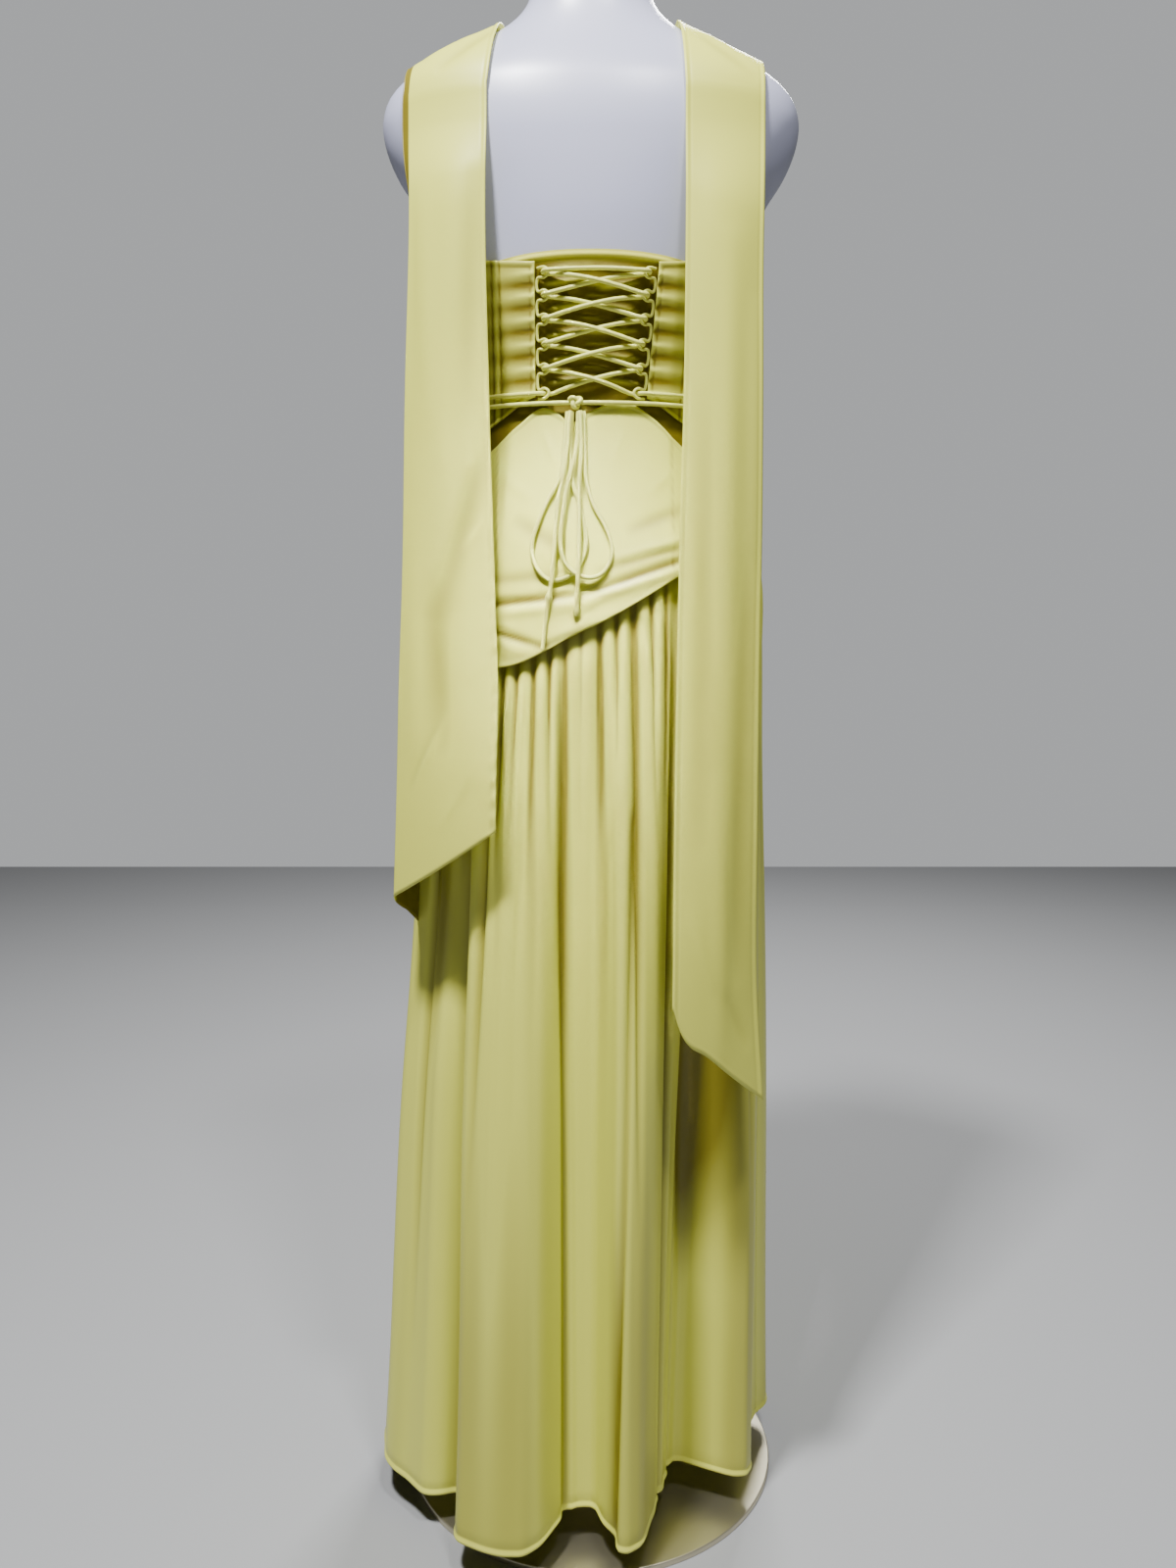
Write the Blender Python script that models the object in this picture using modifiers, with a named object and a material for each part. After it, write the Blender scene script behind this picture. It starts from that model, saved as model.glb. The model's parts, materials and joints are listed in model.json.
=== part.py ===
"""Asymmetric lace-up maxi gown with its scarf, on a limbless dress form with a round base.

Metres, +Z up. The origin is on the floor under the pole's axis, at the middle of the
base plate's underside. The gown's laced back faces -Y, its front faces +Y.

Angles round the body are degrees from the centre back (-Y), positive towards +X.
An offset is the distance outside the dress form's own section, which is widened and
deepened by it, so cloth layers with growing offsets never meet.
"""

import math

import bmesh
import bpy
import numpy as np

for old in list(bpy.data.objects):
    bpy.data.objects.remove(old, do_unlink=True)

# Driving dimensions
SEAM_GAP = 0.0003
SECTION_POWER = 2.2
BASE_RADIUS = 0.1925
BASE_THICKNESS = 0.006
SOCKET_RADIUS = 0.032
SOCKET_HEIGHT = 0.030
POLE_RADIUS = 0.016
NECK_TOP = 1.500
NECK_CAP_THICKNESS = 0.003
HIP_HEIGHT = 0.900
HEM_HEIGHT = 0.040
WAIST_REACH = 0.130
HIP_REACH = 0.165
SHOULDER_HEIGHT = 1.358
GATHERS = 72
COLUMNS_A_GATHER = 3

# Cloth walls and the offsets of the layers' inner faces
WALL = 0.0018
UNDERLAY_OFFSET = 0.0013
UNDERLAY_WALL = 0.0011
BODICE_OFFSET = 0.0036
BASQUE_FLARE = 0.0036
SEAM_LOW, SEAM_BEND = 0.849, 0.006
SKIRT_TUCK = 0.0035
MODESTY_SIDE = 85.0
MODESTY_LOW = 1.0250
MODESTY_TOP = 1.2190
SCRUNCH_HEIGHT = 0.0022
SCRUNCH_PITCH = 0.0205

# The lacing
LACE_RADIUS = 0.0020
LOOP_RADIUS = 0.0013
LOOP_REACH = 0.0110
LOOP_HALF_HEIGHT = 0.0043
LOOP_OFFSET = 0.0088
LACE_WAIST_OFFSET = 0.0088
LACE_WAIST_DROP = 0.0088
LACE_CROSSING_LIFT = 0.0046
LACE_ROWS = (1.199, 1.180, 1.160, 1.139, 1.118, 1.097)

# The dress form's sections: height, half width, depth of the back, depth of the front
FORM = np.array([
    (0.7705, 0.110, 0.076, 0.072),
    (0.7850, 0.136, 0.098, 0.090),
    (0.8200, 0.154, 0.113, 0.102),
    (0.9000, 0.159, 0.119, 0.106),
    (0.9600, 0.152, 0.113, 0.104),
    (1.0200, 0.134, 0.098, 0.097),
    (1.0800, 0.118, 0.086, 0.088),
    (1.1200, 0.121, 0.087, 0.092),
    (1.1700, 0.136, 0.093, 0.108),
    (1.2150, 0.146, 0.098, 0.122),
    (1.2550, 0.154, 0.101, 0.119),
    (1.2850, 0.168, 0.101, 0.110),
    (1.3100, 0.184, 0.100, 0.102),
    (1.3350, 0.194, 0.098, 0.096),
    (1.3580, 0.196, 0.094, 0.090),
    (1.3780, 0.188, 0.088, 0.082),
    (1.3940, 0.170, 0.080, 0.074),
    (1.4100, 0.137, 0.071, 0.066),
    (1.4240, 0.104, 0.064, 0.060),
    (1.4380, 0.080, 0.058, 0.056),
    (1.4550, 0.063, 0.053, 0.053),
    (1.4750, 0.056, 0.050, 0.050),
    (1.4967, 0.055, 0.049, 0.049),
])

# The bodice's edges: angle from centre back, top edge, bottom edge
BODICE_EDGES = np.array([
    (0, 1.2085, 1.0990),
    (22, 1.2095, 1.0930),
    (40, 1.2140, 1.0740),
    (55, 1.2190, 1.0620),
    (70, 1.2240, 1.0560),
    (90, 1.2300, 1.0520),
    (120, 1.2500, 1.0480),
    (150, 1.2700, 1.0420),
    (166, 1.2680, 1.0390),
    (180, 1.2600, 1.0370),
])

# The basque's top edge at the back: angle, height. Two lobes with a notch between them.
BASQUE_TOP = np.array([
    (-90, 1.0517),
    (-75, 1.0480),
    (-62, 1.0380),
    (-48, 1.0414),
    (-30, 1.0700),
    (-18, 1.0844),
    (-12, 1.0790),
    (-7, 1.0705),
    (-2, 1.0780),
    (3, 1.0850),
    (13, 1.0890),
    (25, 1.0760),
    (42, 1.0460),
    (60, 1.0400),
    (75, 1.0480),
    (90, 1.0517),
])

# The skirt at the hem, one row for each ridge and valley: angle, distance from the axis
HEM = np.array([
    (-90, 0.213),
    (-78, 0.221),
    (-67, 0.222),
    (-58, 0.212),
    (-52, 0.206),
    (-46, 0.184),
    (-40, 0.198),
    (-34, 0.229),
    (-22, 0.228),
    (-12, 0.213),
    (-7, 0.175),
    (-3, 0.148),
    (2, 0.154),
    (6, 0.190),
    (10, 0.212),
    (15, 0.210),
    (21, 0.176),
    (31, 0.150),
    (42, 0.140),
    (48, 0.152),
    (54, 0.176),
    (62, 0.178),
    (70, 0.166),
    (80, 0.184),
    (90, 0.193),
    (100, 0.200),
    (111, 0.174),
    (123, 0.200),
    (134, 0.204),
    (145, 0.166),
    (157, 0.198),
    (168, 0.202),
    (179, 0.168),
    (190, 0.198),
    (201, 0.203),
    (212, 0.166),
    (223, 0.196),
    (234, 0.206),
    (245, 0.176),
    (256, 0.204),
    (270, 0.213),
])

# The skirt's rings: share of the height, share of the hem's width, share of the hem's folds,
# offset, height of the gathers, height of the folds that two gathers make
SKIRT_RINGS = np.array([
    (0.000, 0.00, 0.00, 0.0036, 0.0010, 0.0000),
    (0.035, 0.00, 0.02, 0.0066, 0.0026, 0.0008),
    (0.100, 0.02, 0.12, 0.0080, 0.0024, 0.0022),
    (0.260, 0.13, 0.38, 0.0090, 0.0012, 0.0030),
    (0.560, 0.52, 0.74, 0.0100, 0.0004, 0.0016),
    (1.000, 1.00, 1.00, 0.0000, 0.0000, 0.0004),
])

# Where each scarf tail's edges hang: height, inner edge x, outer edge x, inner y, outer y
TAIL_LEFT = np.array([
    (1.330, -0.0920, -0.1635, -0.0985, -0.0700),
    (1.260, -0.0930, -0.1632, -0.1040, -0.0790),
    (1.100, -0.0905, -0.1684, -0.1130, -0.0900),
    (0.920, -0.0857, -0.1736, -0.1300, -0.0980),
    (0.835, -0.0830, -0.1773, -0.1430, -0.1030),
    (0.745, -0.0845, -0.1802, -0.1580, -0.1080),
    (0.600, -0.0859, -0.1860, -0.1700, -0.1150),
])
TAIL_RIGHT = np.array([
    (1.330, 0.0830, 0.1565, -0.0985, -0.0740),
    (1.222, 0.0830, 0.1548, -0.1060, -0.0830),
    (1.094, 0.0820, 0.1551, -0.1130, -0.0920),
    (0.965, 0.0785, 0.1556, -0.1270, -0.0980),
    (0.835, 0.0760, 0.1550, -0.1430, -0.1060),
    (0.700, 0.0737, 0.1547, -0.1630, -0.1140),
    (0.560, 0.0721, 0.1551, -0.1850, -0.1230),
    (0.440, 0.0701, 0.1622, -0.1930, -0.1330),
])
TAIL_LEFT_BOTTOM = (0.7066, 0.6370)
TAIL_RIGHT_BOTTOM = (0.5398, 0.4464)
TAIL_CLEARANCE = 0.0021
TAIL_SWEEP = (-20, 106)
TAIL_SHOULDER_TOP = 0.030
TAIL_BULGE = 0.0090
TAIL_TURN_WIDTH = 0.048
TAIL_TURN_DROP = 0.030
TAIL_TURN_AT_SHOULDER = 0.007
TAIL_TURN_LEAN = 0.012
TAIL_TURN_ROUND = 0.003
SCARF_EDGE_AT_SHOULDER = (0.078, 0.158)
SCARF_FRONT_MIDDLE = (1.388, 1.300)

# Free cords of the bow, each a hand-chosen route on the back: x, height, offset
BOW_LEFT_ROUTE = (
    (-0.0214, 1.0800, 0.0088),
    (-0.0240, 1.0518, 0.0082),
    (-0.0276, 1.0220, 0.0082),
    (-0.0400, 0.9980, 0.0082),
    (-0.0498, 0.9745, 0.0084),
    (-0.0534, 0.9590, 0.0086),
    (-0.0498, 0.9415, 0.0088),
    (-0.0400, 0.9305, 0.0088),
    (-0.0276, 0.9292, 0.0088),
    (-0.0142, 0.9372, 0.0088),
    (-0.0062, 0.9520, 0.0088),
    (-0.0045, 0.9675, 0.0086),
    (-0.0098, 0.9935, 0.0084),
    (-0.0165, 1.0177, 0.0082),
    (-0.0190, 1.0476, 0.0082),
    (-0.0170, 1.0800, 0.0088),
)
BOW_RIGHT_ROUTE = (
    (-0.0118, 1.0800, 0.0088),
    (-0.0122, 1.0603, 0.0103),
    (-0.0148, 1.0390, 0.0126),
    (-0.0205, 1.0177, 0.0128),
    (-0.0249, 0.9920, 0.0128),
    (-0.0276, 0.9640, 0.0128),
    (-0.0240, 0.9465, 0.0130),
    (-0.0165, 0.9365, 0.0132),
    (-0.0045, 0.9310, 0.0132),
    (0.0071, 0.9328, 0.0118),
    (0.0151, 0.9415, 0.0100),
    (0.0187, 0.9572, 0.0090),
    (0.0122, 0.9775, 0.0088),
    (0.0010, 0.9985, 0.0088),
    (-0.0048, 1.0220, 0.0088),
    (-0.0060, 1.0518, 0.0088),
    (-0.0070, 1.0800, 0.0088),
)
END_LEFT_ROUTE = (
    (-0.0187, 1.0800, 0.0134),
    (-0.0205, 1.0603, 0.0132),
    (-0.0231, 1.0350, 0.0130),
    (-0.0260, 1.0177, 0.0130),
    (-0.0294, 1.0005, 0.0130),
    (-0.0325, 0.9658, 0.0130),
    (-0.0350, 0.9320, 0.0134),
    (-0.0385, 0.9100, 0.0126),
    (-0.0410, 0.8900, 0.0120),
    (-0.0436, 0.8675, 0.0122),
)
END_RIGHT_ROUTE = (
    (-0.0098, 1.0800, 0.0134),
    (-0.0092, 1.0518, 0.0134),
    (-0.0095, 1.0348, 0.0132),
    (-0.0107, 1.0177, 0.0130),
    (-0.0107, 0.9832, 0.0132),
    (-0.0110, 0.9572, 0.0158),
    (-0.0116, 0.9360, 0.0176),
    (-0.0125, 0.9170, 0.0144),
    (-0.0134, 0.8967, 0.0120),
)
KNOT_PLACE = (-0.0142, 1.0885, 0.0100)
KNOT_RADII = (0.0085, 0.0058, 0.0056)


def curve_value(table, at, column=1):
    """A smooth curve through a table's column against its first column."""
    xs, ys = table[:, 0], table[:, column]
    at = np.clip(at, xs[0], xs[-1])
    slopes = np.gradient(ys, xs)
    i = np.clip(np.searchsorted(xs, at, side="right") - 1, 0, len(xs) - 2)
    step = xs[i + 1] - xs[i]
    t = (at - xs[i]) / step
    return (
        (2 * t**3 - 3 * t**2 + 1) * ys[i]
        + (t**3 - 2 * t**2 + t) * step * slopes[i]
        + (3 * t**2 - 2 * t**3) * ys[i + 1]
        + (t**3 - t**2) * step * slopes[i + 1]
    )


def eased_value(table, at):
    """Between rows of a ridge and valley table the curve eases out of one and into the next."""
    xs, ys = table[:, 0], table[:, 1]
    i = np.clip(np.searchsorted(xs, at, side="right") - 1, 0, len(xs) - 2)
    t = (at - xs[i]) / (xs[i + 1] - xs[i])
    return ys[i] + (ys[i + 1] - ys[i]) * (1 - np.cos(math.pi * t)) / 2


def powered(value):
    """A sine or cosine raised to the section's own roundness, with its sign kept."""
    return np.sign(value) * np.abs(value) ** (2 / SECTION_POWER)


def around(angle, height, offset):
    """Points on the dress form's section at an angle in degrees, outside it by an offset."""
    angle, height, offset = np.broadcast_arrays(np.radians(angle), height, offset)
    wide = curve_value(FORM, height, 1) + offset
    deep = np.where(np.cos(angle) >= 0, curve_value(FORM, height, 2), curve_value(FORM, height, 3))
    return np.stack(
        [wide * powered(np.sin(angle)), -(deep + offset) * powered(np.cos(angle)), height], axis=-1
    )


def angle_at(x, height, offset):
    """The angle at which the widened section passes a given x on its back."""
    wide = curve_value(FORM, np.asarray(height, float), 1) + offset
    share = np.clip(np.abs(x) / wide, 0, 1)
    return np.degrees(np.arcsin(share ** (SECTION_POWER / 2))) * np.sign(x)


def on_back(x, height, offset):
    """A point over the back at a given x, height and offset."""
    return around(angle_at(x, height, offset), height, offset)


def seam_height(angle):
    """The dropped seam: a sine lifts its right side, and it runs out level on the left."""
    slant = 0.887 + 0.103 * np.sin(np.radians(angle))
    return SEAM_LOW + SEAM_BEND * np.logaddexp(0, (slant - SEAM_LOW) / SEAM_BEND)


def half_gap(reach):
    """Half a seam's gap as an angle in degrees, this far from the axis."""
    return math.degrees(SEAM_GAP / 2 / reach)


def smooth_step(value, low, high):
    """Rises from 0 at low to 1 at high, level at both."""
    t = np.clip((value - low) / (high - low), 0, 1)
    return t * t * (3 - 2 * t)


parts = bpy.data.collections.new("lace_up_gown_on_form")
bpy.context.scene.collection.children.link(parts)


def finish(name, colour, roughness=0.55, metallic=0.0):
    made = bpy.data.materials.new(name)
    made.use_nodes = True
    shader = made.node_tree.nodes["Principled BSDF"]
    shader.inputs["Base Color"].default_value = (*colour, 1)
    shader.inputs["Roughness"].default_value = roughness
    shader.inputs["Metallic"].default_value = metallic
    return made


CLOTH = finish("butter_crepe", (0.72, 0.70, 0.34), 0.5)
UNDERLAY_CLOTH = finish("butter_crepe_underlay", (0.60, 0.58, 0.26), 0.6)
LACE = finish("butter_rouleau_cord", (0.70, 0.68, 0.36), 0.5)
FORM_SKIN = finish("white_form_lacquer", (0.78, 0.78, 0.86), 0.35)
METAL = finish("polished_steel", (0.6, 0.6, 0.6), 0.08, 1.0)


def add_mesh(name, points, faces, material, smooth=True):
    mesh = bpy.data.meshes.new(name)
    mesh.from_pydata([tuple(p) for p in points], [], faces)
    cleaned = bmesh.new()
    cleaned.from_mesh(mesh)
    bmesh.ops.recalc_face_normals(cleaned, faces=cleaned.faces)
    cleaned.to_mesh(mesh)
    cleaned.free()
    mesh.materials.append(material)
    if smooth:
        mesh.shade_smooth()
    made = bpy.data.objects.new(name, mesh)
    parts.objects.link(made)
    return made


def cloth(name, outer, inner, material=CLOTH):
    """A closed wall between two grids of points, rows by columns, with its four edges."""
    rows, columns = outer.shape[:2]
    points = np.concatenate([outer.reshape(-1, 3), inner.reshape(-1, 3)])
    number = np.arange(rows * columns).reshape(rows, columns)
    under = number + rows * columns
    faces = []
    for r in range(rows - 1):
        for c in range(columns - 1):
            quad = (number[r, c], number[r, c + 1], number[r + 1, c + 1], number[r + 1, c])
            faces.append(quad)
            faces.append(tuple(q + rows * columns for q in reversed(quad)))
    for r in range(rows - 1):
        for c in (0, columns - 1):
            faces.append((number[r, c], number[r + 1, c], under[r + 1, c], under[r, c]))
    for c in range(columns - 1):
        for r in (0, rows - 1):
            faces.append((number[r, c], number[r, c + 1], under[r, c + 1], under[r, c]))
    return add_mesh(name, points, [tuple(int(i) for i in f) for f in faces], material)


def cord(name, points, radius, sides=8):
    """A round tube with filled ends along a list of points."""
    data = bpy.data.curves.new(name, "CURVE")
    data.dimensions = "3D"
    data.bevel_depth = radius
    data.bevel_resolution = sides // 2 - 2
    data.use_fill_caps = True
    spline = data.splines.new("POLY")
    spline.points.add(len(points) - 1)
    for place, point in zip(spline.points, points):
        place.co = (*point, 1)
    data.materials.append(LACE)
    made = bpy.data.objects.new(name, data)
    parts.objects.link(made)
    return made


def smooth_route(points, spacing):
    """Points about a spacing apart on one smooth curve through the given points."""
    points = np.asarray(points, float)
    padded = np.vstack([2 * points[0] - points[1], points, 2 * points[-1] - points[-2]])
    fine = []
    for i in range(1, len(padded) - 2):
        before, start, end, after = padded[i - 1 : i + 3]
        t = np.linspace(0, 1, 24, endpoint=False)[:, None]
        fine.append(
            0.5
            * (
                2 * start
                + (end - before) * t
                + (2 * before - 5 * start + 4 * end - after) * t**2
                + (3 * start - before - 3 * end + after) * t**3
            )
        )
    fine = np.vstack([*fine, points[-1:]])
    along = np.concatenate([[0], np.cumsum(np.linalg.norm(np.diff(fine, axis=0), axis=1))])
    wanted = np.linspace(0, along[-1], max(3, round(along[-1] / spacing) + 1))
    return np.stack([np.interp(wanted, along, fine[:, k]) for k in range(3)], axis=1)


# The stand: base plate, socket and pole
def turned(name, radius, low, high, bevel, material, sides=48):
    solid = bmesh.new()
    bmesh.ops.create_cone(
        solid, cap_ends=True, segments=sides, radius1=radius, radius2=radius, depth=high - low
    )
    mesh = bpy.data.meshes.new(name)
    solid.to_mesh(mesh)
    solid.free()
    mesh.materials.append(material)
    mesh.shade_smooth()
    mesh.set_sharp_from_angle(angle=math.radians(40))
    made = bpy.data.objects.new(name, mesh)
    made.location = (0, 0, (low + high) / 2)
    parts.objects.link(made)
    if bevel:
        rounded = made.modifiers.new("rounded rims", "BEVEL")
        rounded.width = bevel
        rounded.segments = 1
        rounded.limit_method = "ANGLE"
    return made


turned("base_plate", BASE_RADIUS, 0, BASE_THICKNESS, 0.0012, METAL, 40)
turned(
    "pole_socket", SOCKET_RADIUS, BASE_THICKNESS + SEAM_GAP, SOCKET_HEIGHT, 0.003, METAL, 20
)
turned("form_pole", POLE_RADIUS, SOCKET_HEIGHT + SEAM_GAP, FORM[0, 0] - SEAM_GAP, 0, METAL, 16)


# The dress form: one loft through its sections, closed flat below and at the neck
def loft_form(columns=24):
    heights = np.concatenate([FORM[:, 0], [0.86, 0.93, 0.99, 1.04, 1.06, 1.10, 1.145, 1.193]])
    heights = np.sort(heights)
    angles = np.arange(columns) * 360 / columns
    rings = around(angles[None, :], heights[:, None], 0)
    points = rings.reshape(-1, 3)
    faces = []
    for r in range(len(heights) - 1):
        for c in range(columns):
            after = (c + 1) % columns
            faces.append((r * columns + c, r * columns + after,
                          (r + 1) * columns + after, (r + 1) * columns + c))
    faces.append(tuple(range(columns)))
    faces.append(tuple((len(heights) - 1) * columns + c for c in range(columns)))
    return add_mesh("dress_form", points, faces, FORM_SKIN)


def neck_cap(columns=24):
    angles = np.arange(columns) * 360 / columns
    low = around(angles, FORM[-1, 0], 0.001)
    low[:, 2] = NECK_TOP - NECK_CAP_THICKNESS
    high = low.copy()
    high[:, 2] = NECK_TOP
    faces = [(c, (c + 1) % columns, columns + (c + 1) % columns, columns + c)
             for c in range(columns)]
    faces += [tuple(range(columns)), tuple(range(columns, 2 * columns))]
    return add_mesh("neck_cap", np.vstack([low, high]), faces, METAL, smooth=False)


loft_form()
neck_cap()


# The underlay behind the lacing: a plain inside, its outside scrunched between the laces
def modesty_panel(columns=18):
    share = np.linspace(-1, 1, columns + 1)[None, :]
    angles = MODESTY_SIDE * np.sign(share) * np.abs(share) ** 1.15
    top = np.maximum(MODESTY_TOP - 0.0100 * (np.abs(angles) / 40) ** 2, 1.200)
    low = MODESTY_LOW
    steps = LACE_ROWS[-1] + SCRUNCH_PITCH / 2 * np.arange(11)
    steps = np.concatenate([[low, 1.050, 1.072, 1.087], steps, [1.2085, MODESTY_TOP]])
    share = ((steps - low) / (MODESTY_TOP - low))[:, None]
    height = low + (top - low) * share
    inner = around(angles, height, UNDERLAY_OFFSET)
    window = 1 - smooth_step(np.abs(angles), 9, 20)
    above = smooth_step(height, 1.085, 1.095) * (1 - smooth_step(height, 1.200, 1.207))
    wave = 0.5 - 0.5 * np.cos(2 * math.pi * (steps[:, None] - LACE_ROWS[-1]) / SCRUNCH_PITCH)
    raised = SCRUNCH_HEIGHT * wave * window * above
    outer = around(angles, height, UNDERLAY_OFFSET + UNDERLAY_WALL + raised)
    cloth("modesty_panel", outer, inner, UNDERLAY_CLOTH)


modesty_panel()


# The corset back panels, one each side of the lacing, and the bodice front
def panel_edge(side, height):
    """The x of a corset panel's laced edge, which leans in towards the waist."""
    if side < 0:
        return -0.0496 + 0 * height
    return 0.0500 + 0.0095 * (height - 1.095) / 0.11


def corset_back(name, side, columns=8, rows=6):
    share = np.linspace(0, 1, rows + 1)[:, None]
    across = np.linspace(0, 1, columns + 1)[None, :]
    outward = 90 - half_gap(WAIST_REACH)
    middle = (LACE_ROWS[0] + LACE_ROWS[-1]) / 2
    start = np.abs(angle_at(panel_edge(side, middle), middle, BODICE_OFFSET))
    rough = start + (outward - start) * across
    low = curve_value(BODICE_EDGES, rough, 2)
    high = curve_value(BODICE_EDGES, rough, 1)
    height = low + (high - low) * share
    start = np.abs(angle_at(panel_edge(side, height[:, :1]), height[:, :1], BODICE_OFFSET))
    angles = (start + (outward - start) * across) * side
    inner = around(angles, height, BODICE_OFFSET)
    outer = around(angles, height, BODICE_OFFSET + WALL)
    cloth(name, outer, inner)


corset_back("corset_back_left", -1)
corset_back("corset_back_right", 1)


def front_angles(columns):
    trim = half_gap(WAIST_REACH)
    return np.linspace(90 + trim, 270 - trim, columns + 1)[None, :]


def mirrored(angles):
    """The front's angles measured back from the centre back, for edges alike on both sides."""
    return np.where(angles > 180, 360 - angles, angles)


def bodice_front(columns=20, rows=6):
    angles = front_angles(columns)
    share = np.linspace(0, 1, rows + 1)[:, None]
    low = curve_value(BODICE_EDGES, mirrored(angles), 2)
    high = curve_value(BODICE_EDGES, mirrored(angles), 1)
    height = low + (high - low) * share
    inner = around(angles, height, BODICE_OFFSET)
    outer = around(angles, height, BODICE_OFFSET + WALL)
    cloth("bodice_front", outer, inner)


bodice_front()


# The basque: fitted from the waist to the slanting seam, its lower edge standing proud
def basque(name, angles, top, rows=5):
    share = np.linspace(0, 1, rows + 1)[:, None] ** 1.25
    low = seam_height(angles)
    height = low + (top - low) * share
    flare = BASQUE_FLARE * (1 - smooth_step(share, 0.0, 0.4))
    inner = around(angles, height, BODICE_OFFSET + flare)
    outer = around(angles, height, BODICE_OFFSET + WALL + flare)
    cloth(name, outer, inner)


def basque_pieces():
    trim = half_gap(WAIST_REACH)
    back = np.linspace(-90 + trim, 90 - trim, 31)[None, :]
    basque("basque_back", back, curve_value(BASQUE_TOP, back) + 0 * back)
    front = front_angles(20)
    top = curve_value(BODICE_EDGES, mirrored(front), 2) - SEAM_GAP
    basque("basque_front", front, top)


basque_pieces()


# The skirt: gathered into the slanting seam, falling in folds that widen to the hem
def skirt_grid(angles):
    """The skirt's outside and inside, rings by columns, from angles in degrees."""
    rings_out, rings_in = [], []
    turn = np.radians(angles)
    top = seam_height(angles) + SKIRT_TUCK
    hem = HEM_HEIGHT + 0.003 * np.sin(3 * turn + 0.6)
    spoke = np.stack([np.sin(turn), -np.cos(turn)], axis=-1)
    radius = hem_radius(angles)
    width = np.mean([hem_radius(angles + nearby) for nearby in range(-30, 31, 5)], axis=0)
    uneven = 0.75 + 0.25 * np.sin(7 * turn + 1.0) * np.sin(3 * turn)
    for share, of_width, of_folds, offset, gather, fold in SKIRT_RINGS:
        height = top + (hem - top) * share
        hung = around(angles, np.maximum(height, HIP_HEIGHT), offset)[:, :2]
        outline = hung * (1 - of_width) + spoke * (width * of_width)[:, None]
        outline = outline + spoke * ((radius - width) * of_folds)[:, None]
        away = sideways(outline)
        ripple = gather * np.cos(GATHERS * turn + 0.7 * np.sin(4 * turn))
        ripple += fold * np.cos(GATHERS / 2 * turn + 1.3 + 1.1 * np.sin(3 * turn))
        outline = outline + away * (ripple * uneven)[:, None]
        inside = outline - sideways(outline) * WALL
        rings_out.append(np.column_stack([outline, height]))
        rings_in.append(np.column_stack([inside, height]))
    return np.array(rings_out), np.array(rings_in)


def hem_radius(angles):
    """The hem's distance from the axis, ridge by ridge, at any angle in degrees."""
    return eased_value(HEM, (angles + 90) % 360 - 90)


def sideways(outline):
    """The outward direction across an outline that runs anticlockwise from above."""
    run = np.gradient(outline, axis=0)
    away = np.stack([run[:, 1], -run[:, 0]], axis=-1)
    return away / np.linalg.norm(away, axis=1)[:, None]


def skirt(name, start):
    trim = half_gap(HIP_REACH)
    columns = GATHERS * COLUMNS_A_GATHER // 2
    spare = 2
    angles = start + np.arange(-spare, columns + 1 + spare) * 180 / columns
    angles[spare] += trim
    angles[-1 - spare] -= trim
    outer, inner = skirt_grid(angles)
    cloth(name, outer[::-1, spare:-spare], inner[::-1, spare:-spare])


skirt("skirt_back", -90)
skirt("skirt_front", 90)


# The scarf: two tails over the shoulders down the back, and the stretch across the front
def top_height(x, y, offset):
    """The height at which the shoulder, raised by an offset, passes a point seen from above."""
    low, high = np.full(np.shape(x), SHOULDER_HEIGHT), np.full(np.shape(x), FORM[-1, 0])
    for _ in range(40):
        middle = (low + high) / 2
        wide = curve_value(FORM, middle, 1) + offset
        deep = np.where(y < 0, curve_value(FORM, middle, 2), curve_value(FORM, middle, 3)) + offset
        inside = (np.abs(x) / wide) ** SECTION_POWER + (np.abs(y) / deep) ** SECTION_POWER < 1
        low, high = np.where(inside, middle, low), np.where(inside, high, middle)
    return low + offset


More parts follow.
